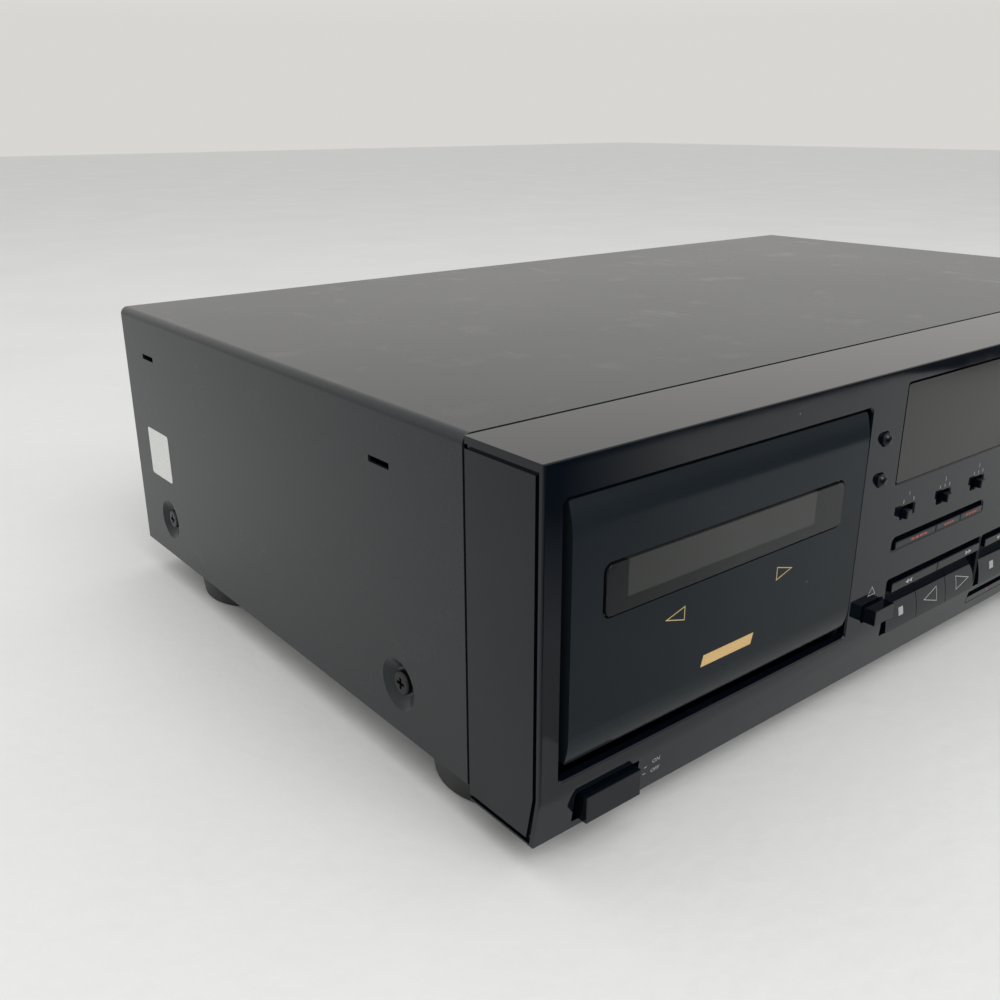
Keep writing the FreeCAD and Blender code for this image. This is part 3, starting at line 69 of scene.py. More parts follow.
# Printed marks: corners and rows as (x, z).
PRINT_T, PRINT_SUNK = 0.03, 0.01       # how far screen printing stands out of its wall and reaches into it
DOOR_ARROWS = (((-173.1, 53.6), (-165.4, 51.4), (-165.4, 55.7)),
               ((-118.8, 53.7), (-126.2, 55.8), (-126.2, 51.5)))
DOOR_BADGE = ((-157.4, 34.2), (-135.7, 34.2), (-134.7, 37.6), (-156.4, 37.6))
DOOR_LINE, KEY_LINE, EJECT_LINE = 0.26, 0.24, 0.22
POWER_WORDS, POWER_SIZE = (("ON", -171.1, 9.0), ("OFF", -170.8, 5.5)), 2.0
POWER_BARS, POWER_BAR_X, POWER_BAR_T = (8.0, 5.6), (-175.8, -174.6), 0.25
DIAL_X, DIAL_Z = 52.0, 49.5
DIAL_START, DIAL_SWEEP = -150, 300     # degrees from upright
FIGURE_STEPS, FIGURE_R, FIGURE_SIZE = 10, 15.9, 2.1
TICK_STEPS, LONG_TICK, SHORT_TICK, TICK_HALF = 40, (13.3, 14.3), (13.5, 14.0), 0.11
SWITCH_X, SWITCH_PITCH = -56.1, 22.5
SWITCH_TICKS = ((-3.0, 3.0), (-3.0, 0.0, 3.0), (-3.0, 0.0, 3.0))
SWITCH_TICK_Z, SWITCH_TICK_HALF, SWITCH_FIGURE_Z, SWITCH_FIGURE_SIZE = (59.0, 60.3), 0.15, 62.0, 1.8
EJECT_X, EJECT_HALF, EJECT_Z = 71.4, 2.2, (29.9, 33.0)
STOP_MARK = ((-51.2, -48.4), (15.7, 18.6))
BACKWARD_MARK = ((-35.3, 16.8), (-26.4, 14.0), (-26.4, 19.6))
FORWARD_MARK = ((-4.0, 16.9), (-13.2, 19.7), (-13.2, 14.3))
WINDING_MARKS = (("rewind", -48.0, -1), ("fast_forward", -9.9, 1))
ARROWHEADS, ARROWHEAD, ARROWHEAD_Z = (-1.2, 0.9), 1.9, (27.8, 28.6, 29.4)
COPY_MARKS = ((-51.0, -40.5), (-30.0, -23.5), (-15.5, -7.5))
COPY_BARS, COPY_BAR_SHARE, COPY_BAR_Z = 4, 0.19, (44.0, 44.8)
RECORD_DOT = (15.0, 5.7, 0.65)
PAUSE_BARS, PAUSE_Z = ((45.2, 45.7), (46.3, 46.8)), (5.1, 6.4)
LABEL_Y, LABEL_Z = (228.7, 249.3), (37.9, 57.8)


def spot(x, y, z):
    return Vector((x * MM, FACE_Y + y * MM, PANEL_LOW + z * MM))


# ------------------------------------------------------------------ shader kit
MIX_COLOURS, MIX_RESULT = (6, 7), 2    # a Mix node's sockets for colours


class Value:
    """A node's output that adds Math nodes when it is used in a sum."""

    def __init__(self, finish, socket):
        self.finish, self.socket = finish, socket

    def _math(self, operation, first, second):
        return self.finish.make("ShaderNodeMath", {"operation": operation}, {0: first, 1: second})

    def __add__(self, other):
        return self._math("ADD", self, other)

    __radd__ = __add__

    def __sub__(self, other):
        return self._math("SUBTRACT", self, other)

    def __rsub__(self, other):
        return self._math("SUBTRACT", other, self)

    def __mul__(self, other):
        return self._math("MULTIPLY", self, other)

    __rmul__ = __mul__

    def __gt__(self, other):
        return self._math("GREATER_THAN", self, other)

    def __lt__(self, other):
        return self._math("LESS_THAN", self, other)

    def __pow__(self, other):
        return self._math("POWER", self, other)


class Finish:
    """One material and the node tree that makes it."""

    def __init__(self, name):
        self.material = bpy.data.materials.new(name)
        self.material.use_nodes = True
        self.tree = self.material.node_tree
        self.tree.nodes.clear()
        self.place = self.make("ShaderNodeTexCoord", {}, {}, "Object")

    def make(self, kind, settings, inputs, output=0):
        """Add a node: settings first, then the values or links of its inputs; gives one output."""
        node = self.tree.nodes.new(kind)
        for name, value in settings.items():
            setattr(node, name, value)
        for name, value in inputs.items():
            if isinstance(value, Value):
                self.tree.links.new(value.socket, node.inputs[name])
            else:
                node.inputs[name].default_value = value
        return Value(self, node.outputs[output])

    def noise(self, scale, detail=2.0, stretch=(1, 1, 1), turn=0.0):
        """Noise in the piece's own coordinates, stretched along its axes and turned about the upright one."""
        place = self.make("ShaderNodeMapping", {}, {"Vector": self.place, "Scale": stretch,
                                                    "Rotation": (0, 0, turn)})
        return self.make("ShaderNodeTexNoise", {}, {"Vector": place, "Scale": scale, "Detail": detail,
                                                    "Roughness": 0.5}, "Fac")

    def axis(self, name):
        return self.make("ShaderNodeSeparateXYZ", {}, {"Vector": self.place}, name.upper())

    def ramp(self, value, low, high, start=0.0, end=1.0):
        """Value mapped from low..high to start..end, held at both ends."""
        return self.make("ShaderNodeMapRange", {}, {"Value": value, "From Min": low, "From Max": high,
                                                    "To Min": start, "To Max": end}, "Result")

    def tint(self, amount, first, second):
        """Colour between two colours; each is a colour or another tint."""
        inputs = {"Factor": amount}
        for index, colour in zip(MIX_COLOURS, (first, second)):
            inputs[index] = colour if isinstance(colour, Value) else (*colour, 1)
        return self.make("ShaderNodeMix", {"data_type": "RGBA"}, inputs, MIX_RESULT)

    def specks(self, scale, size, share):
        """Mask of small dust specks."""
        cells = {"Vector": self.place, "Scale": scale}
        distance = self.make("ShaderNodeTexVoronoi", {}, cells, "Distance")
        colour = self.make("ShaderNodeTexVoronoi", {}, cells, "Color")
        chance = self.make("ShaderNodeSeparateColor", {}, {"Color": colour}, "Red")
        return (distance < size) * (chance > 1 - share)

    def bump(self, height, strength, distance):
        inputs = {"Height": height, "Strength": strength, "Distance": distance}
        return self.make("ShaderNodeBump", {}, inputs, "Normal")

    def close(self, **sockets):
        """Principled shader from socket names with underscores, wired to the output."""
        inputs = {name.replace("_", " "): value for name, value in sockets.items()}
        self.make_output(self.make("ShaderNodeBsdfPrincipled", {}, inputs, "BSDF"))
        return self.material

    def make_output(self, shader):
        output = self.tree.nodes.new("ShaderNodeOutputMaterial")
        self.tree.links.new(shader.socket, output.inputs["Surface"])


# ------------------------------------------------------------------ finishes
DUST, PLATED = (0.20, 0.20, 0.20), (0.62, 0.60, 0.55)
CLEAR_SPAN, CLEAR_FOOT = (-0.1880, -0.1110), 65.5     # clear part of deck A's window: x in metres, foot in mm
BLUR = 0.0002                                         # half width of the window mask's soft edge
SOCKET_COLUMNS, SOCKET_ROWS, SOCKET_RING_R = (-0.150, -0.136), (56, 70), 0.0031


def scratches(finish, turn, share):
    """Mask of fine hairline scratches along one direction."""
    lines = finish.noise(900, 0, (1, 0.035, 1), turn)
    patches = finish.noise(14, 2)
    return finish.ramp(lines, 0.70, 0.74) * finish.ramp(patches, 1 - share, 1.04 - share)


def cover_paint():
    """Semi-gloss paint of the cover, scratched and rubbed on its top."""
    f = Finish("cover_paint")
    grain = f.noise(1500, 2)
    cloud = f.noise(9, 3)
    top = f.ramp(f.axis("z"), TOP_Z - 0.002, TOP_Z)
    marks = (scratches(f, 0.5, 0.42) + scratches(f, 1.9, 0.40) + scratches(f, -0.35, 0.38)) * top
    rubbed = f.ramp(f.noise(55, 5), 0.60, 0.75)
    base = f.tint(cloud, (0.0090, 0.0120, 0.0145), (0.0130, 0.0165, 0.0190))
    base = f.tint(f.ramp(grain, 0.4, 0.75), base, (0.019, 0.0225, 0.025))
    base = f.tint(f.specks(260, 0.06, 0.06) * 0.5, base, DUST)
    base = f.tint(marks * 0.22, base, (0.12, 0.125, 0.13))
    return f.close(Base_Color=base, Roughness=0.25 + cloud * 0.06 - rubbed * 0.05 - marks * 0.04,
                   IOR=1.355, Normal=f.bump(grain + marks * -0.5, 0.12, 0.00012))


def gloss_plastic(name, colour, dusty=0.5, rough=0.05, ior=1.36):
    """Moulded gloss plastic with faint wiping marks and dust."""
    f = Finish(name)
    cloud = f.noise(16, 3)
    wipe = f.noise(60, 3, (1, 1, 5), 0.3)
    fine = f.noise(700, 1)
    dust = f.specks(190, 0.05, 0.10 * dusty)
    base = f.tint(cloud, colour, tuple(c * 1.5 for c in colour))
    base = f.tint(dust * 0.5, base, (0.20, 0.20, 0.19))
    return f.close(Base_Color=base, Roughness=rough + f.ramp(wipe, 0.45, 0.75) * 0.04 + dust * 0.4,
                   IOR=ior, Normal=f.bump(f.noise(35, 1) + fine * 0.05, 0.04, 0.0002))


def matt_plastic(name, colour, rough=0.42, grain=1600, strength=0.25):
    """Grained plastic or paint, a little lighter and smoother where it is worn."""
    f = Finish(name)
    pits = f.noise(grain, 2)
    worn = f.ramp(f.noise(120, 4), 0.5, 0.8)
    base = f.tint(worn * 0.6, colour, tuple(c * 1.7 + 0.004 for c in colour))
    return f.close(Base_Color=base, Roughness=rough + pits * 0.1 - worn * 0.08,
                   Normal=f.bump(pits, strength, 0.0001))


def metal(name, colour, rough=0.28, stretch=(1, 1, 1), scale=500, spots=0.0, painted_shade_to=None):
    """Bare or plated metal with brushed or crystalline variation; from the front up to a depth its colour is
    near black, painted shade for the dark hollow behind the door gaps.
    """
    f = Finish(name)
    lines = f.noise(scale, 3, stretch)
    stain = f.ramp(f.noise(30, 4), 0.45, 0.8)
    base = f.tint(lines, tuple(c * 0.72 for c in colour), colour)
    base = f.tint(stain * (0.25 + spots), base, tuple(c * 0.55 for c in colour))
    if painted_shade_to is not None:
        # painted shade: near black ahead of the given depth, standing in for the shade inside the deck seen
        # through the gaps under the doors
        base = f.tint(f.ramp(f.axis("y"), painted_shade_to - 0.003, painted_shade_to, 1.0, 0.0), base, (0.004, 0.004, 0.004))
    return f.close(Base_Color=base, Metallic=0.95, Roughness=rough + lines * 0.14 + stain * 0.12,
                   Normal=f.bump(lines, 0.12, 0.0001))


def door_window():
    """Smoked window: clear over the cassette, masked at its ends and along its foot."""
    f = Finish("window_smoke")
    x, z = f.axis("x"), f.axis("z")
    clear = None
    for shift in (0.0, DECK_PITCH * MM):
        left, right = CLEAR_SPAN[0] + shift, CLEAR_SPAN[1] + shift
        strip = f.ramp(x, left - BLUR, left + BLUR) * f.ramp(x, right - BLUR, right + BLUR, 1, 0)
        clear = strip if clear is None else clear + strip
    foot = spot(0, 0, CLEAR_FOOT).z
    clear = clear * f.ramp(z, foot - BLUR, foot + BLUR)
    smear = f.noise(26, 3)
    dust = f.specks(240, 0.05, 0.08)
    base = f.tint(clear, (0.0062, 0.0072, 0.0080), (0.0290, 0.0310, 0.0295))
    base = f.tint(dust * 0.4, base, DUST)
    return f.close(Base_Color=base, Roughness=0.10 + smear * 0.07 + dust * 0.3, IOR=1.36, Alpha=0.93,
                   Normal=f.bump(smear, 0.03, 0.0002))


def display_glass():
    """Smoked lens of the display, with wiping marks and dust."""
    f = Finish("lens_smoke")
    smear = f.noise(18, 3)
    dust = f.specks(200, 0.05, 0.08)
    base = f.tint(smear, (0.0050, 0.0056, 0.0052), (0.0085, 0.0088, 0.0080))
    base = f.tint(dust * 0.4, base, DUST)
    return f.close(Base_Color=base, Roughness=0.11 + smear * 0.06 + dust * 0.3, IOR=1.43, Alpha=0.94,
                   Normal=f.bump(smear, 0.03, 0.0002))


def tube_glass():
    """Display tube: dark glass over a fine mesh and rows of unlit segments."""
    f = Finish("tube_glass")
    mesh = f.make("ShaderNodeTexWave", {"bands_direction": "X"}, {"Vector": f.place, "Scale": 700.0}, "Fac")
    rows = f.make("ShaderNodeTexWave", {"bands_direction": "Z"}, {"Vector": f.place, "Scale": 46.0}, "Fac")
    base = f.tint(f.ramp(rows, 0.6, 0.7) * 0.6, (0.018, 0.022, 0.022), (0.075, 0.095, 0.085))
    base = f.tint(mesh * 0.25, base, (0.05, 0.055, 0.055))
    return f.close(Base_Color=base, Roughness=0.12 + mesh * 0.08, Normal=f.bump(mesh, 0.1, 0.0001))


def socket_plastic():
    """Phono sockets: black block, plated sleeves and a coloured ring round each contact."""
    f = Finish("jack_plastic")
    x, y, z = f.axis("x"), f.axis("y"), f.axis("z")
    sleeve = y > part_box("rear_panel")[1].y - 0.0002
    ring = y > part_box("line_jacks")[1].y - 0.0001
    near = None
    for row in (spot(0, 0, row).z for row in SOCKET_ROWS):
        for column in SOCKET_COLUMNS:
            inside = ((x - column) ** 2.0 + (z - row) ** 2.0) ** 0.5 < SOCKET_RING_R
            near = inside if near is None else near + inside
    right = x > sum(SOCKET_COLUMNS) / 2
    grain = f.noise(900, 2)
    insert = f.tint(right, PLATED, (0.42, 0.02, 0.015))
    base = f.tint(sleeve, (0.012, 0.012, 0.013), PLATED)
    base = f.tint(ring * near, base, insert)
    plated = sleeve * (1 - ring * near)
    return f.close(Base_Color=base, Metallic=plated * 0.9, Roughness=0.42 - plated * 0.16 + grain * 0.08,
                   Normal=f.bump(grain, 0.1, 0.0001))


def board_laminate():
    """Circuit board: dark green laminate with solder spots."""
    f = Finish("board_laminate")
    grain = f.noise(300, 3)
    solder = f.specks(330, 0.25, 0.5)
    base = f.tint(grain, (0.016, 0.036, 0.020), (0.026, 0.056, 0.032))
    base = f.tint(solder, base, (0.42, 0.42, 0.40))
    return f.close(Base_Color=base, Roughness=0.5 - solder * 0.2, Metallic=solder * 0.6,
                   Normal=f.bump(grain + solder, 0.2, 0.0002))


def rubber(name, colour):
    """Dull rubber with dust in patches."""
    f = Finish(name)
    grain = f.noise(1100, 3)
    dust = f.ramp(f.noise(40, 4), 0.45, 0.75)
    base = f.tint(dust * 0.5, colour, tuple(c + 0.02 for c in colour))
    return f.close(Base_Color=base, Roughness=0.62 + grain * 0.12, Normal=f.bump(grain, 0.3, 0.0002))


def ink(name, colour, rough=0.45):
    """Screen-printed ink with slightly uneven cover."""
    f = Finish(name)
    cover = f.noise(2500, 2)
    base = f.tint(f.ramp(cover, 0.35, 0.7), tuple(c * 0.8 for c in colour), colour)
    return f.close(Base_Color=base, Roughness=rough + cover * 0.1, Normal=f.bump(cover, 0.1, 0.00005))


FINISHES = {
    "cover_paint": cover_paint(),
    "panel_plastic": gloss_plastic("panel_plastic", (0.0011, 0.0024, 0.0044)),
    "door_plastic": gloss_plastic("door_plastic", (0.0072, 0.0098, 0.0122), 0.5, 0.14, 1.20),
    "window_smoke": door_window(),
    "lens_smoke": display_glass(),
    "tube_glass": tube_glass(),
    # pan and mechanism frames: painted shade, near black ahead of y = -0.06 m, for the dark seen through the
    # gaps under the doors
    "zinc_steel": metal("zinc_steel", (0.60, 0.61, 0.58), 0.30, scale=160, spots=0.1, painted_shade_to=-0.06),
    "holder_steel": matt_plastic("holder_steel", (0.006, 0.006, 0.0065), 0.5, 900, 0.2),
    "rear_paint": matt_plastic("rear_paint", (0.020, 0.021, 0.022), 0.5, 1400, 0.25),
    "black_steel": metal("black_steel", (0.045, 0.046, 0.048), 0.30, scale=700),
    "foot_plastic": matt_plastic("foot_plastic", (0.013, 0.014, 0.015), 0.5, 1200, 0.3),
    "jack_plastic": socket_plastic(),
    "bush_rubber": rubber("bush_rubber", (0.014, 0.014, 0.014)),
    "board_laminate": board_laminate(),
    "core_steel": metal("core_steel", (0.30, 0.29, 0.27), 0.42, (1, 1, 8), 260, 0.2),
    "motor_can": metal("motor_can", (0.62, 0.62, 0.60), 0.26, (1, 6, 1), 220),
    "belt_rubber": rubber("belt_rubber", (0.010, 0.010, 0.010)),
    "brass_turned": metal("brass_turned", (0.66, 0.50, 0.24), 0.24, (1, 9, 1), 300),
    "flywheel_metal": metal("flywheel_metal", (0.56, 0.55, 0.53), 0.25, (1, 9, 1), 260),
    "spindle_plastic": matt_plastic("spindle_plastic", (0.60, 0.60, 0.57), 0.38),
    "head_metal": metal("head_metal", (0.58, 0.57, 0.55), 0.22, (1, 1, 5), 300),
    "key_plastic": gloss_plastic("key_plastic", (0.0012, 0.0024, 0.0042), 0.3),
    "dial_plastic": matt_plastic("dial_plastic", (0.0100, 0.0105, 0.0110), 0.34, 1500, 0.12),
}
GOLD = ink("gold_ink", (0.50, 0.385, 0.175))
GOLD_BAR = ink("gold_bar_ink", (0.60, 0.40, 0.16))
WHITE = ink("white_ink", (0.34, 0.35, 0.34))
RED = ink("red_ink", (0.30, 0.055, 0.045))
FOIL = ink("label_foil", (0.78, 0.79, 0.77), 0.30)


# ------------------------------------------------------------------ CAD pieces, merged and smoothed
def linked(name, shape, material):
    """Turn a bmesh into an object of the scene."""
    mesh = bpy.data.meshes.new(name)
    shape.to_mesh(mesh)
    shape.free()
    mesh.materials.append(material)
    piece = bpy.data.objects.new(name, mesh)
    bpy.context.scene.collection.objects.link(piece)
    return piece


def dress(node):
    """Stand a merged copy for a CAD node, with smooth curved faces and crisp edges."""
    shape = bmesh.new()
    shape.from_mesh(frame["nodes"][node].data)
    bmesh.ops.remove_doubles(shape, verts=shape.verts, dist=1e-6)
    for face in shape.faces:
        face.smooth = True
        face.material_index = 0
    for edge in shape.edges:
        sharp = len(edge.link_faces) != 2 or edge.calc_face_angle() > math.radians(CREASE)
        edge.smooth = not sharp
    piece = linked(node + "_body", shape, FINISHES[SLOT_OF[node]])
    attributes = piece.data.attributes
    if attributes.get("custom_normal"):
        attributes.remove(attributes["custom_normal"])
    weighted = piece.modifiers.new("even_shading", "WEIGHTED_NORMAL")
    weighted.keep_sharp = True
    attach(piece, BODY_OF[node])
    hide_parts(node)


for node in sorted(frame["nodes"]):
    dress(node)


# ------------------------------------------------------------------ printed marks
def flat(depth):
    """Upright wall at one depth. Every wall gives its depth y from a height z."""
    return lambda z: depth


def lower_strip(z):
    return STRIP_BACK * max(STRIP_TOP - z, 0) / STRIP_TOP


def lower_key(z):
    """Face of a lower deck key: upright at its foot, rolled back towards its head."""
    radius = (KEY_RISE ** 2 + KEY_ROLL ** 2) / (2 * KEY_ROLL)
    return radius - math.sqrt(radius ** 2 - (z - KEY_FOOT) ** 2)


def piece_from(name, shape, finish, body):
    bmesh.ops.recalc_face_normals(shape, faces=shape.faces)
    piece = linked(name, shape, finish)
    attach(piece, body)


def upper_verts(grown):
    return [item for item in grown["geom"] if isinstance(item, bmesh.types.BMVert)]


def print_on(name, shape, wall, finish, body):
    """Give flat marks in the XZ plane, in millimetres, their thickness, and lay them on a wall."""
    upper = set(upper_verts(bmesh.ops.extrude_face_region(shape, geom=shape.faces[:])))
    for vert in shape.verts:
        vert.co = spot(vert.co.x, wall(vert.co.z) - (PRINT_T if vert in upper else -PRINT_SUNK), vert.co.z)
    piece_from(name, shape, finish, body)


def moved(corners, shift):
    return [(x + shift, z) for x, z in corners]


def polygon(shape, corners):
    verts = [shape.verts.new((x, 0, z)) for x, z in corners]
    return shape.faces.new(verts)


def outline(shape, corners, line):
    """Closed outline of a polygon with an even line width."""
    face = polygon(shape, corners)
    face.normal_update()
    bmesh.ops.inset_region(shape, faces=[face], thickness=line, use_even_offset=True, use_boundary=True)
    bmesh.ops.delete(shape, geom=[face], context="FACES")


def bar(shape, x, z):
    polygon(shape, [(x[0], z[0]), (x[1], z[0]), (x[1], z[1]), (x[0], z[1])])


def disc(shape, x, z, radius):
    turn = Matrix.Translation((x, 0, z)) @ Matrix.Rotation(math.pi / 2, 4, "X")
    bmesh.ops.create_circle(shape, cap_ends=True, segments=20, radius=radius, matrix=turn)


def lettering(shape, words, x, z, size):
    """Add plain figures or words centred on a point."""
    curve = bpy.data.curves.new("figures", "FONT")
    curve.body, curve.size = words, size
    curve.align_x, curve.align_y = "CENTER", "CENTER"
    holder = bpy.data.objects.new("figures", curve)
    bpy.context.scene.collection.objects.link(holder)
    bpy.context.view_layer.update()
    mesh = bpy.data.meshes.new_from_object(holder)
    bpy.data.objects.remove(holder)
    mesh.transform(Matrix.Translation((x, 0, z)) @ Matrix.Rotation(math.pi / 2, 4, "X"))
    shape.from_mesh(mesh)
    bpy.data.meshes.remove(mesh)


def finely_cut(shape):
    """Cut flat marks into small faces, so that they can follow a curved wall."""
    bmesh.ops.triangulate(shape, faces=shape.faces[:])
    bmesh.ops.subdivide_edges(shape, edges=shape.edges[:], cuts=3, use_grid_fill=True)


def door_marks(deck, shift):
    arrows = bmesh.new()
    for corners in DOOR_ARROWS:
        outline(arrows, moved(corners, shift), DOOR_LINE)
    print_on("door_arrows_" + deck, arrows, flat(DOOR_FACE), GOLD, "door_" + deck)
    badge = bmesh.new()
    polygon(badge, moved(DOOR_BADGE, shift))
    print_on("door_badge_" + deck, badge, flat(DOOR_FACE), GOLD_BAR, "door_" + deck)


def power_marks():
    power = bmesh.new()
    for word, x, z in POWER_WORDS:
        lettering(power, word, x, z, POWER_SIZE)
    for z in POWER_BARS:
        bar(power, POWER_BAR_X, (z, z + POWER_BAR_T))
    print_on("power_marks", power, lower_strip, WHITE, "deck")


def panel_marks():
    """Dial scale with its figures, ticks and figures of the slide switches, signs over the eject keys."""
    panel = bmesh.new()
    for index in range(FIGURE_STEPS + 1):
        angle = math.radians(DIAL_START + DIAL_SWEEP * index / FIGURE_STEPS)
        lettering(panel, str(index), DIAL_X + math.sin(angle) * FIGURE_R, DIAL_Z + math.cos(angle) * FIGURE_R,
                  FIGURE_SIZE)
    centre = Vector((DIAL_X, DIAL_Z))
    for index in range(TICK_STEPS + 1):
        angle = math.radians(DIAL_START + DIAL_SWEEP * index / TICK_STEPS)
        start, end = LONG_TICK if index % 4 == 0 else SHORT_TICK
        along = Vector((math.sin(angle), math.cos(angle)))
        across = Vector((math.cos(angle), -math.sin(angle))) * TICK_HALF
        polygon(panel, [tuple(centre + along * start - across), tuple(centre + along * start + across),
                        tuple(centre + along * end + across), tuple(centre + along * end - across)])
    for index, places in enumerate(SWITCH_TICKS):
        middle = SWITCH_X + SWITCH_PITCH * index
        for place in places:
            bar(panel, (middle + place - SWITCH_TICK_HALF, middle + place + SWITCH_TICK_HALF), SWITCH_TICK_Z)
        lettering(panel, str(index + 1), middle, SWITCH_FIGURE_Z, SWITCH_FIGURE_SIZE)
    for middle in (-EJECT_X, EJECT_X):
        foot, tip = EJECT_Z
        outline(panel, [(middle - EJECT_HALF, foot), (middle + EJECT_HALF, foot), (middle, tip)], EJECT_LINE)
    print_on("panel_marks", panel, flat(0.0), WHITE, "deck")


def key_marks(cluster, shift):
    stop, backward, forward = bmesh.new(), bmesh.new(), bmesh.new()
    bar(stop, [x + shift for x in STOP_MARK[0]], STOP_MARK[1])
    outline(backward, moved(BACKWARD_MARK, shift), KEY_LINE)
    outline(forward, moved(FORWARD_MARK, shift), KEY_LINE)
    for name, shape in (("stop", stop), ("reverse_play", backward), ("forward_play", forward)):
        finely_cut(shape)
        print_on(name + "_mark_" + cluster, shape, lower_key, WHITE, name + "_key_" + cluster)
    low, middle_z, high = ARROWHEAD_Z
    for name, middle, way in WINDING_MARKS:
        double = bmesh.new()
        for step in ARROWHEADS:
            back = middle + shift + way * step
            polygon(double, [(back + way * ARROWHEAD, middle_z), (back, low), (back, high)])
        print_on(name + "_mark_" + cluster, double, flat(UPPER_KEY_FACE), WHITE, name + "_key_" + cluster)


def copy_and_record_marks():
    for index, (left, right) in enumerate(COPY_MARKS, 1):
        strip = bmesh.new()
        for step in range(COPY_BARS):
            start = left + (right - left) * step / COPY_BARS
            bar(strip, (start, start + (right - left) * COPY_BAR_SHARE), COPY_BAR_Z)
        print_on("copy_mark_%d" % index, strip, flat(COPY_KEY_FACE), RED, "copy_key_%d" % index)
    dot = bmesh.new()
    disc(dot, *RECORD_DOT)
    print_on("record_mark", dot, lower_strip, RED, "record_key")
    pair = bmesh.new()
    for x in PAUSE_BARS:
        bar(pair, x, PAUSE_Z)
    print_on("pause_mark", pair, lower_strip, WHITE, "pause_key")


def dial_pointer():
    """Pale bar let into the front of the dial, upright at rest."""
    pointer = bmesh.new()
    middle = (DIAL_X * MM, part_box("level_dial")[0].y + 0.00055, PANEL_LOW + 0.0574)
    bmesh.ops.create_cube(pointer, size=1.0, matrix=Matrix.Translation(middle)
                          @ Matrix.Diagonal((0.0010, 0.0005, 0.0062, 1)))
    piece_from("dial_pointer", pointer, WHITE, "level_dial")


def side_label():
    """Bare foil plate with round corners on the left side of the cover."""
    thick, corner_r = 0.00012, 0.0012
    label = bmesh.new()
    (front, back), (low, high) = LABEL_Y, LABEL_Z
    corners = [label.verts.new(Vector((COVER_SIDE - thick, spot(0, y, 0).y, spot(0, 0, z).z)))
               for y, z in ((back, low), (front, low), (front, high), (back, high))]
    label.faces.new(corners)
    bmesh.ops.bevel(label, geom=label.verts[:], offset=corner_r, offset_type="OFFSET", segments=5,
                    profile=0.5, affect="VERTICES", material=-1)
    grown = bmesh.ops.extrude_face_region(label, geom=label.faces[:])
    bmesh.ops.translate(label, verts=upper_verts(grown), vec=(thick, 0, 0))
    piece_from("side_label", label, FOIL, "deck")


for deck, shift in (("a", 0.0), ("b", DECK_PITCH)):
    door_marks(deck, shift)
power_marks()
panel_marks()
for cluster, shift in (("a", 0.0), ("b", CLUSTER_PITCH)):
    key_marks(cluster, shift)
copy_and_record_marks()
dial_pointer()
side_label()


# ------------------------------------------------------------------ floor, light and camera
FLOOR_HALF = 6.0
WORLD_LIGHT = (("From Min", 0.0), ("From Max", 0.7), ("To Min", 0.62), ("To Max", 0.84))
WORLD_SEEN = (("From Min", 0.08), ("From Max", 0.32), ("To Min", 1.0), ("To Max", 1.38))
YAW, PITCH, ROLL = 38.685, 20.393, -0.188             # degrees: to the right, down, about the view
CAMERA_PLACE, CAMERA_LENS = (-0.3571, -0.2897, 0.1866), 36.94
LAMP_AIM = (0, 0, 0)
# Dark cards seen only in reflections paint shade into the glossy front: the low card's patch is a painted
# shadow on the floor in front of the deck, the tall card stands for dark surroundings.
LOW_CARD, LOW_CARD_SIZE = (0.15, -0.40, 0.002), (1.5, 0.46)
TALL_CARD, TALL_CARD_SIZE = (0.15, -0.63, 0.25), (2.6, 0.50)
PATCH_X, PATCH_Y, PATCH_COS, PATCH_SIN = 0.013, -0.374, 0.665, 0.747    # the low card's patch: corner and turn


def floor():
    """Pale cloth-like floor, plain from edge to edge."""
    f = Finish("pale_floor")
    pile = f.noise(140, 4)
    cloud = f.noise(7, 3)
    base = f.tint(cloud, (0.64, 0.645, 0.635), (0.72, 0.725, 0.715))
    base = f.tint(pile * 0.3, base, (0.60, 0.605, 0.60))
    material = f.close(Base_Color=base, Roughness=0.85, Normal=f.bump(pile, 0.15, 0.002))
    sheet = bmesh.new()
    bmesh.ops.create_grid(sheet, x_segments=1, y_segments=1, size=FLOOR_HALF)
    piece = linked("floor", sheet, material)


def studio():
    """Even soft light, brighter overhead; eyes, gloss and glass all see one plain pale backdrop."""
    world = bpy.data.worlds.new("studio")
    bpy.context.scene.world = world
    world.use_nodes = True
    tree = world.node_tree
    tree.nodes.clear()
    make, link = tree.nodes.new, tree.links.new
    place, height = make("ShaderNodeTexCoord"), make("ShaderNodeSeparateXYZ")
    link(place.outputs["Generated"], height.inputs["Vector"])
    light, seen = make("ShaderNodeBackground"), make("ShaderNodeBackground")
    for sky, colour, settings in ((light, (1.0, 0.995, 0.985, 1), WORLD_LIGHT),
                                  (seen, (0.69, 0.675, 0.65, 1), WORLD_SEEN)):
        sky.inputs["Color"].default_value = colour
        rise = make("ShaderNodeMapRange")
        for name, value in settings:
            rise.inputs[name].default_value = value
        link(height.outputs["Z"], rise.inputs["Value"])
        link(rise.outputs["Result"], sky.inputs["Strength"])
    rays, both, every = make("ShaderNodeLightPath"), make("ShaderNodeMath"), make("ShaderNodeMath")
    link(rays.outputs["Is Camera Ray"], both.inputs[0])
    link(rays.outputs["Is Glossy Ray"], both.inputs[1])
    link(both.outputs[0], every.inputs[0])
    link(rays.outputs["Is Transmission Ray"], every.inputs[1])
    every.use_clamp = True
    choice, output = make("ShaderNodeMixShader"), make("ShaderNodeOutputWorld")
    link(every.outputs[0], choice.inputs["Fac"])
    link(light.outputs["Background"], choice.inputs[1])
    link(seen.outputs["Background"], choice.inputs[2])
    link(choice.outputs["Shader"], output.inputs["Surface"])


def lamp(name, place, size, power):
    light = bpy.data.lights.new(name, "AREA")
    light.shape, light.size, light.energy = "SQUARE", size, power
    holder = bpy.data.objects.new(name, light)
    holder.location = place
    holder.rotation_euler = (Vector(LAMP_AIM) - Vector(place)).to_track_quat("-Z", "Y").to_euler()
    bpy.context.scene.collection.objects.link(holder)


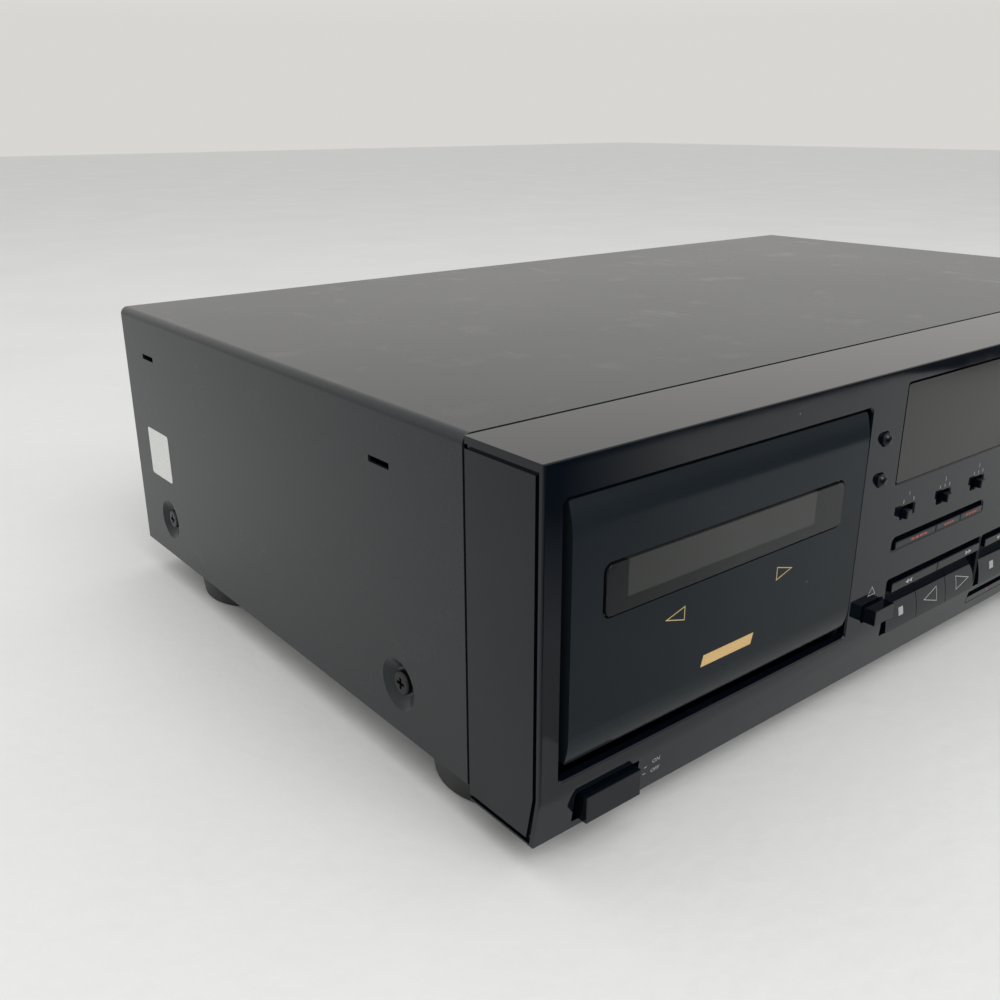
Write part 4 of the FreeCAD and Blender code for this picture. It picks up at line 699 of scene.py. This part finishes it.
def camera():
    """Camera at the front left corner, looking down a little."""
    yaw, pitch, roll = math.radians(YAW), math.radians(PITCH), math.radians(ROLL)
    right = Vector((math.cos(yaw), -math.sin(yaw), 0))
    ahead = Vector((math.sin(yaw) * math.cos(pitch), math.cos(yaw) * math.cos(pitch), -math.sin(pitch)))
    up = right.cross(ahead)
    tilted_right = right * math.cos(roll) + up * math.sin(roll)
    tilted_up = up * math.cos(roll) - right * math.sin(roll)
    data = bpy.data.cameras.new("camera")
    data.sensor_width = 36.0
    data.lens = CAMERA_LENS
    data.clip_start = 0.01
    holder = bpy.data.objects.new("camera", data)
    turn = Matrix((tilted_right, tilted_up, -ahead)).transposed().to_4x4()
    holder.matrix_world = Matrix.Translation(CAMERA_PLACE) @ turn
    bpy.context.scene.collection.objects.link(holder)
    bpy.context.scene.camera = holder


def dark_card(name, place, size, fade):
    """Soft black card that only reflections show, as a studio uses beside glossy things; it paints shade into
    the reflections of the glossy front.
    """
    shape = bmesh.new()
    bmesh.ops.create_grid(shape, x_segments=1, y_segments=1, size=0.5,
                          matrix=place @ Matrix.Diagonal((*size, 1, 1)))
    f = Finish(name)
    cover = fade(f)
    black = f.make("ShaderNodeBsdfDiffuse", {}, {"Color": (0.01, 0.01, 0.011, 1)}, "BSDF")
    clear = f.make("ShaderNodeBsdfTransparent", {}, {}, "BSDF")
    f.make_output(f.make("ShaderNodeMixShader", {}, {0: cover, 1: clear, 2: black}, "Shader"))
    card = linked(name, shape, f.material)
    card.visible_camera = card.visible_diffuse = card.visible_shadow = card.visible_transmission = False


def low_fade(f):
    """Cover of the floor card, painted shade seen only in reflections: a painted shadow patch fading from its
    near left edge, and full towards the front, where it paints the dark beyond the edge of the lit floor.
    """
    x, y = f.axis("x") - PATCH_X, f.axis("y") - PATCH_Y
    along, beside = x * -PATCH_COS + y * PATCH_SIN, x * PATCH_SIN + y * PATCH_COS
    # painted shadow on the floor in front of the deck, seen only in reflections
    patch = f.ramp(along, 0.07, 0.21, 0.97, 0.40) * f.ramp(beside, 0.0, 0.078, 1.0, 0.0)
    edge = f.axis("y") - f.ramp(f.axis("x"), 0.36, 0.42, 0.0, 0.02)
    # painted shade beyond the edge of the lit floor
    shade_beyond = f.ramp(edge, -0.377, -0.372, 0.97, 0.0)
    return 1 - (1 - patch) * (1 - shade_beyond)


def tall_fade(f):
    """Cover of the upright card, painted shade seen only in reflections, standing in for the dark surroundings
    in front of the deck: fading out with height.
    """
    return f.ramp(f.axis("z"), 0.06, 0.18, 0.9, 0.45) - f.ramp(f.axis("z"), 0.35, 0.5, 0.0, 0.45)


floor()
studio()
dark_card("low_shade_card", Matrix.Translation(LOW_CARD), LOW_CARD_SIZE, low_fade)
upright = Matrix.Translation(TALL_CARD) @ Matrix.Rotation(math.pi / 2, 4, "X")
dark_card("tall_shade_card", upright, TALL_CARD_SIZE, tall_fade)
lamp("overhead", place=(-0.4, 0.1, 1.5), size=1.6, power=4.5)
lamp("front_fill", place=(-0.2, -1.3, 1.2), size=1.2, power=16.0)
camera()
bpy.context.scene.view_settings.view_transform = "Standard"
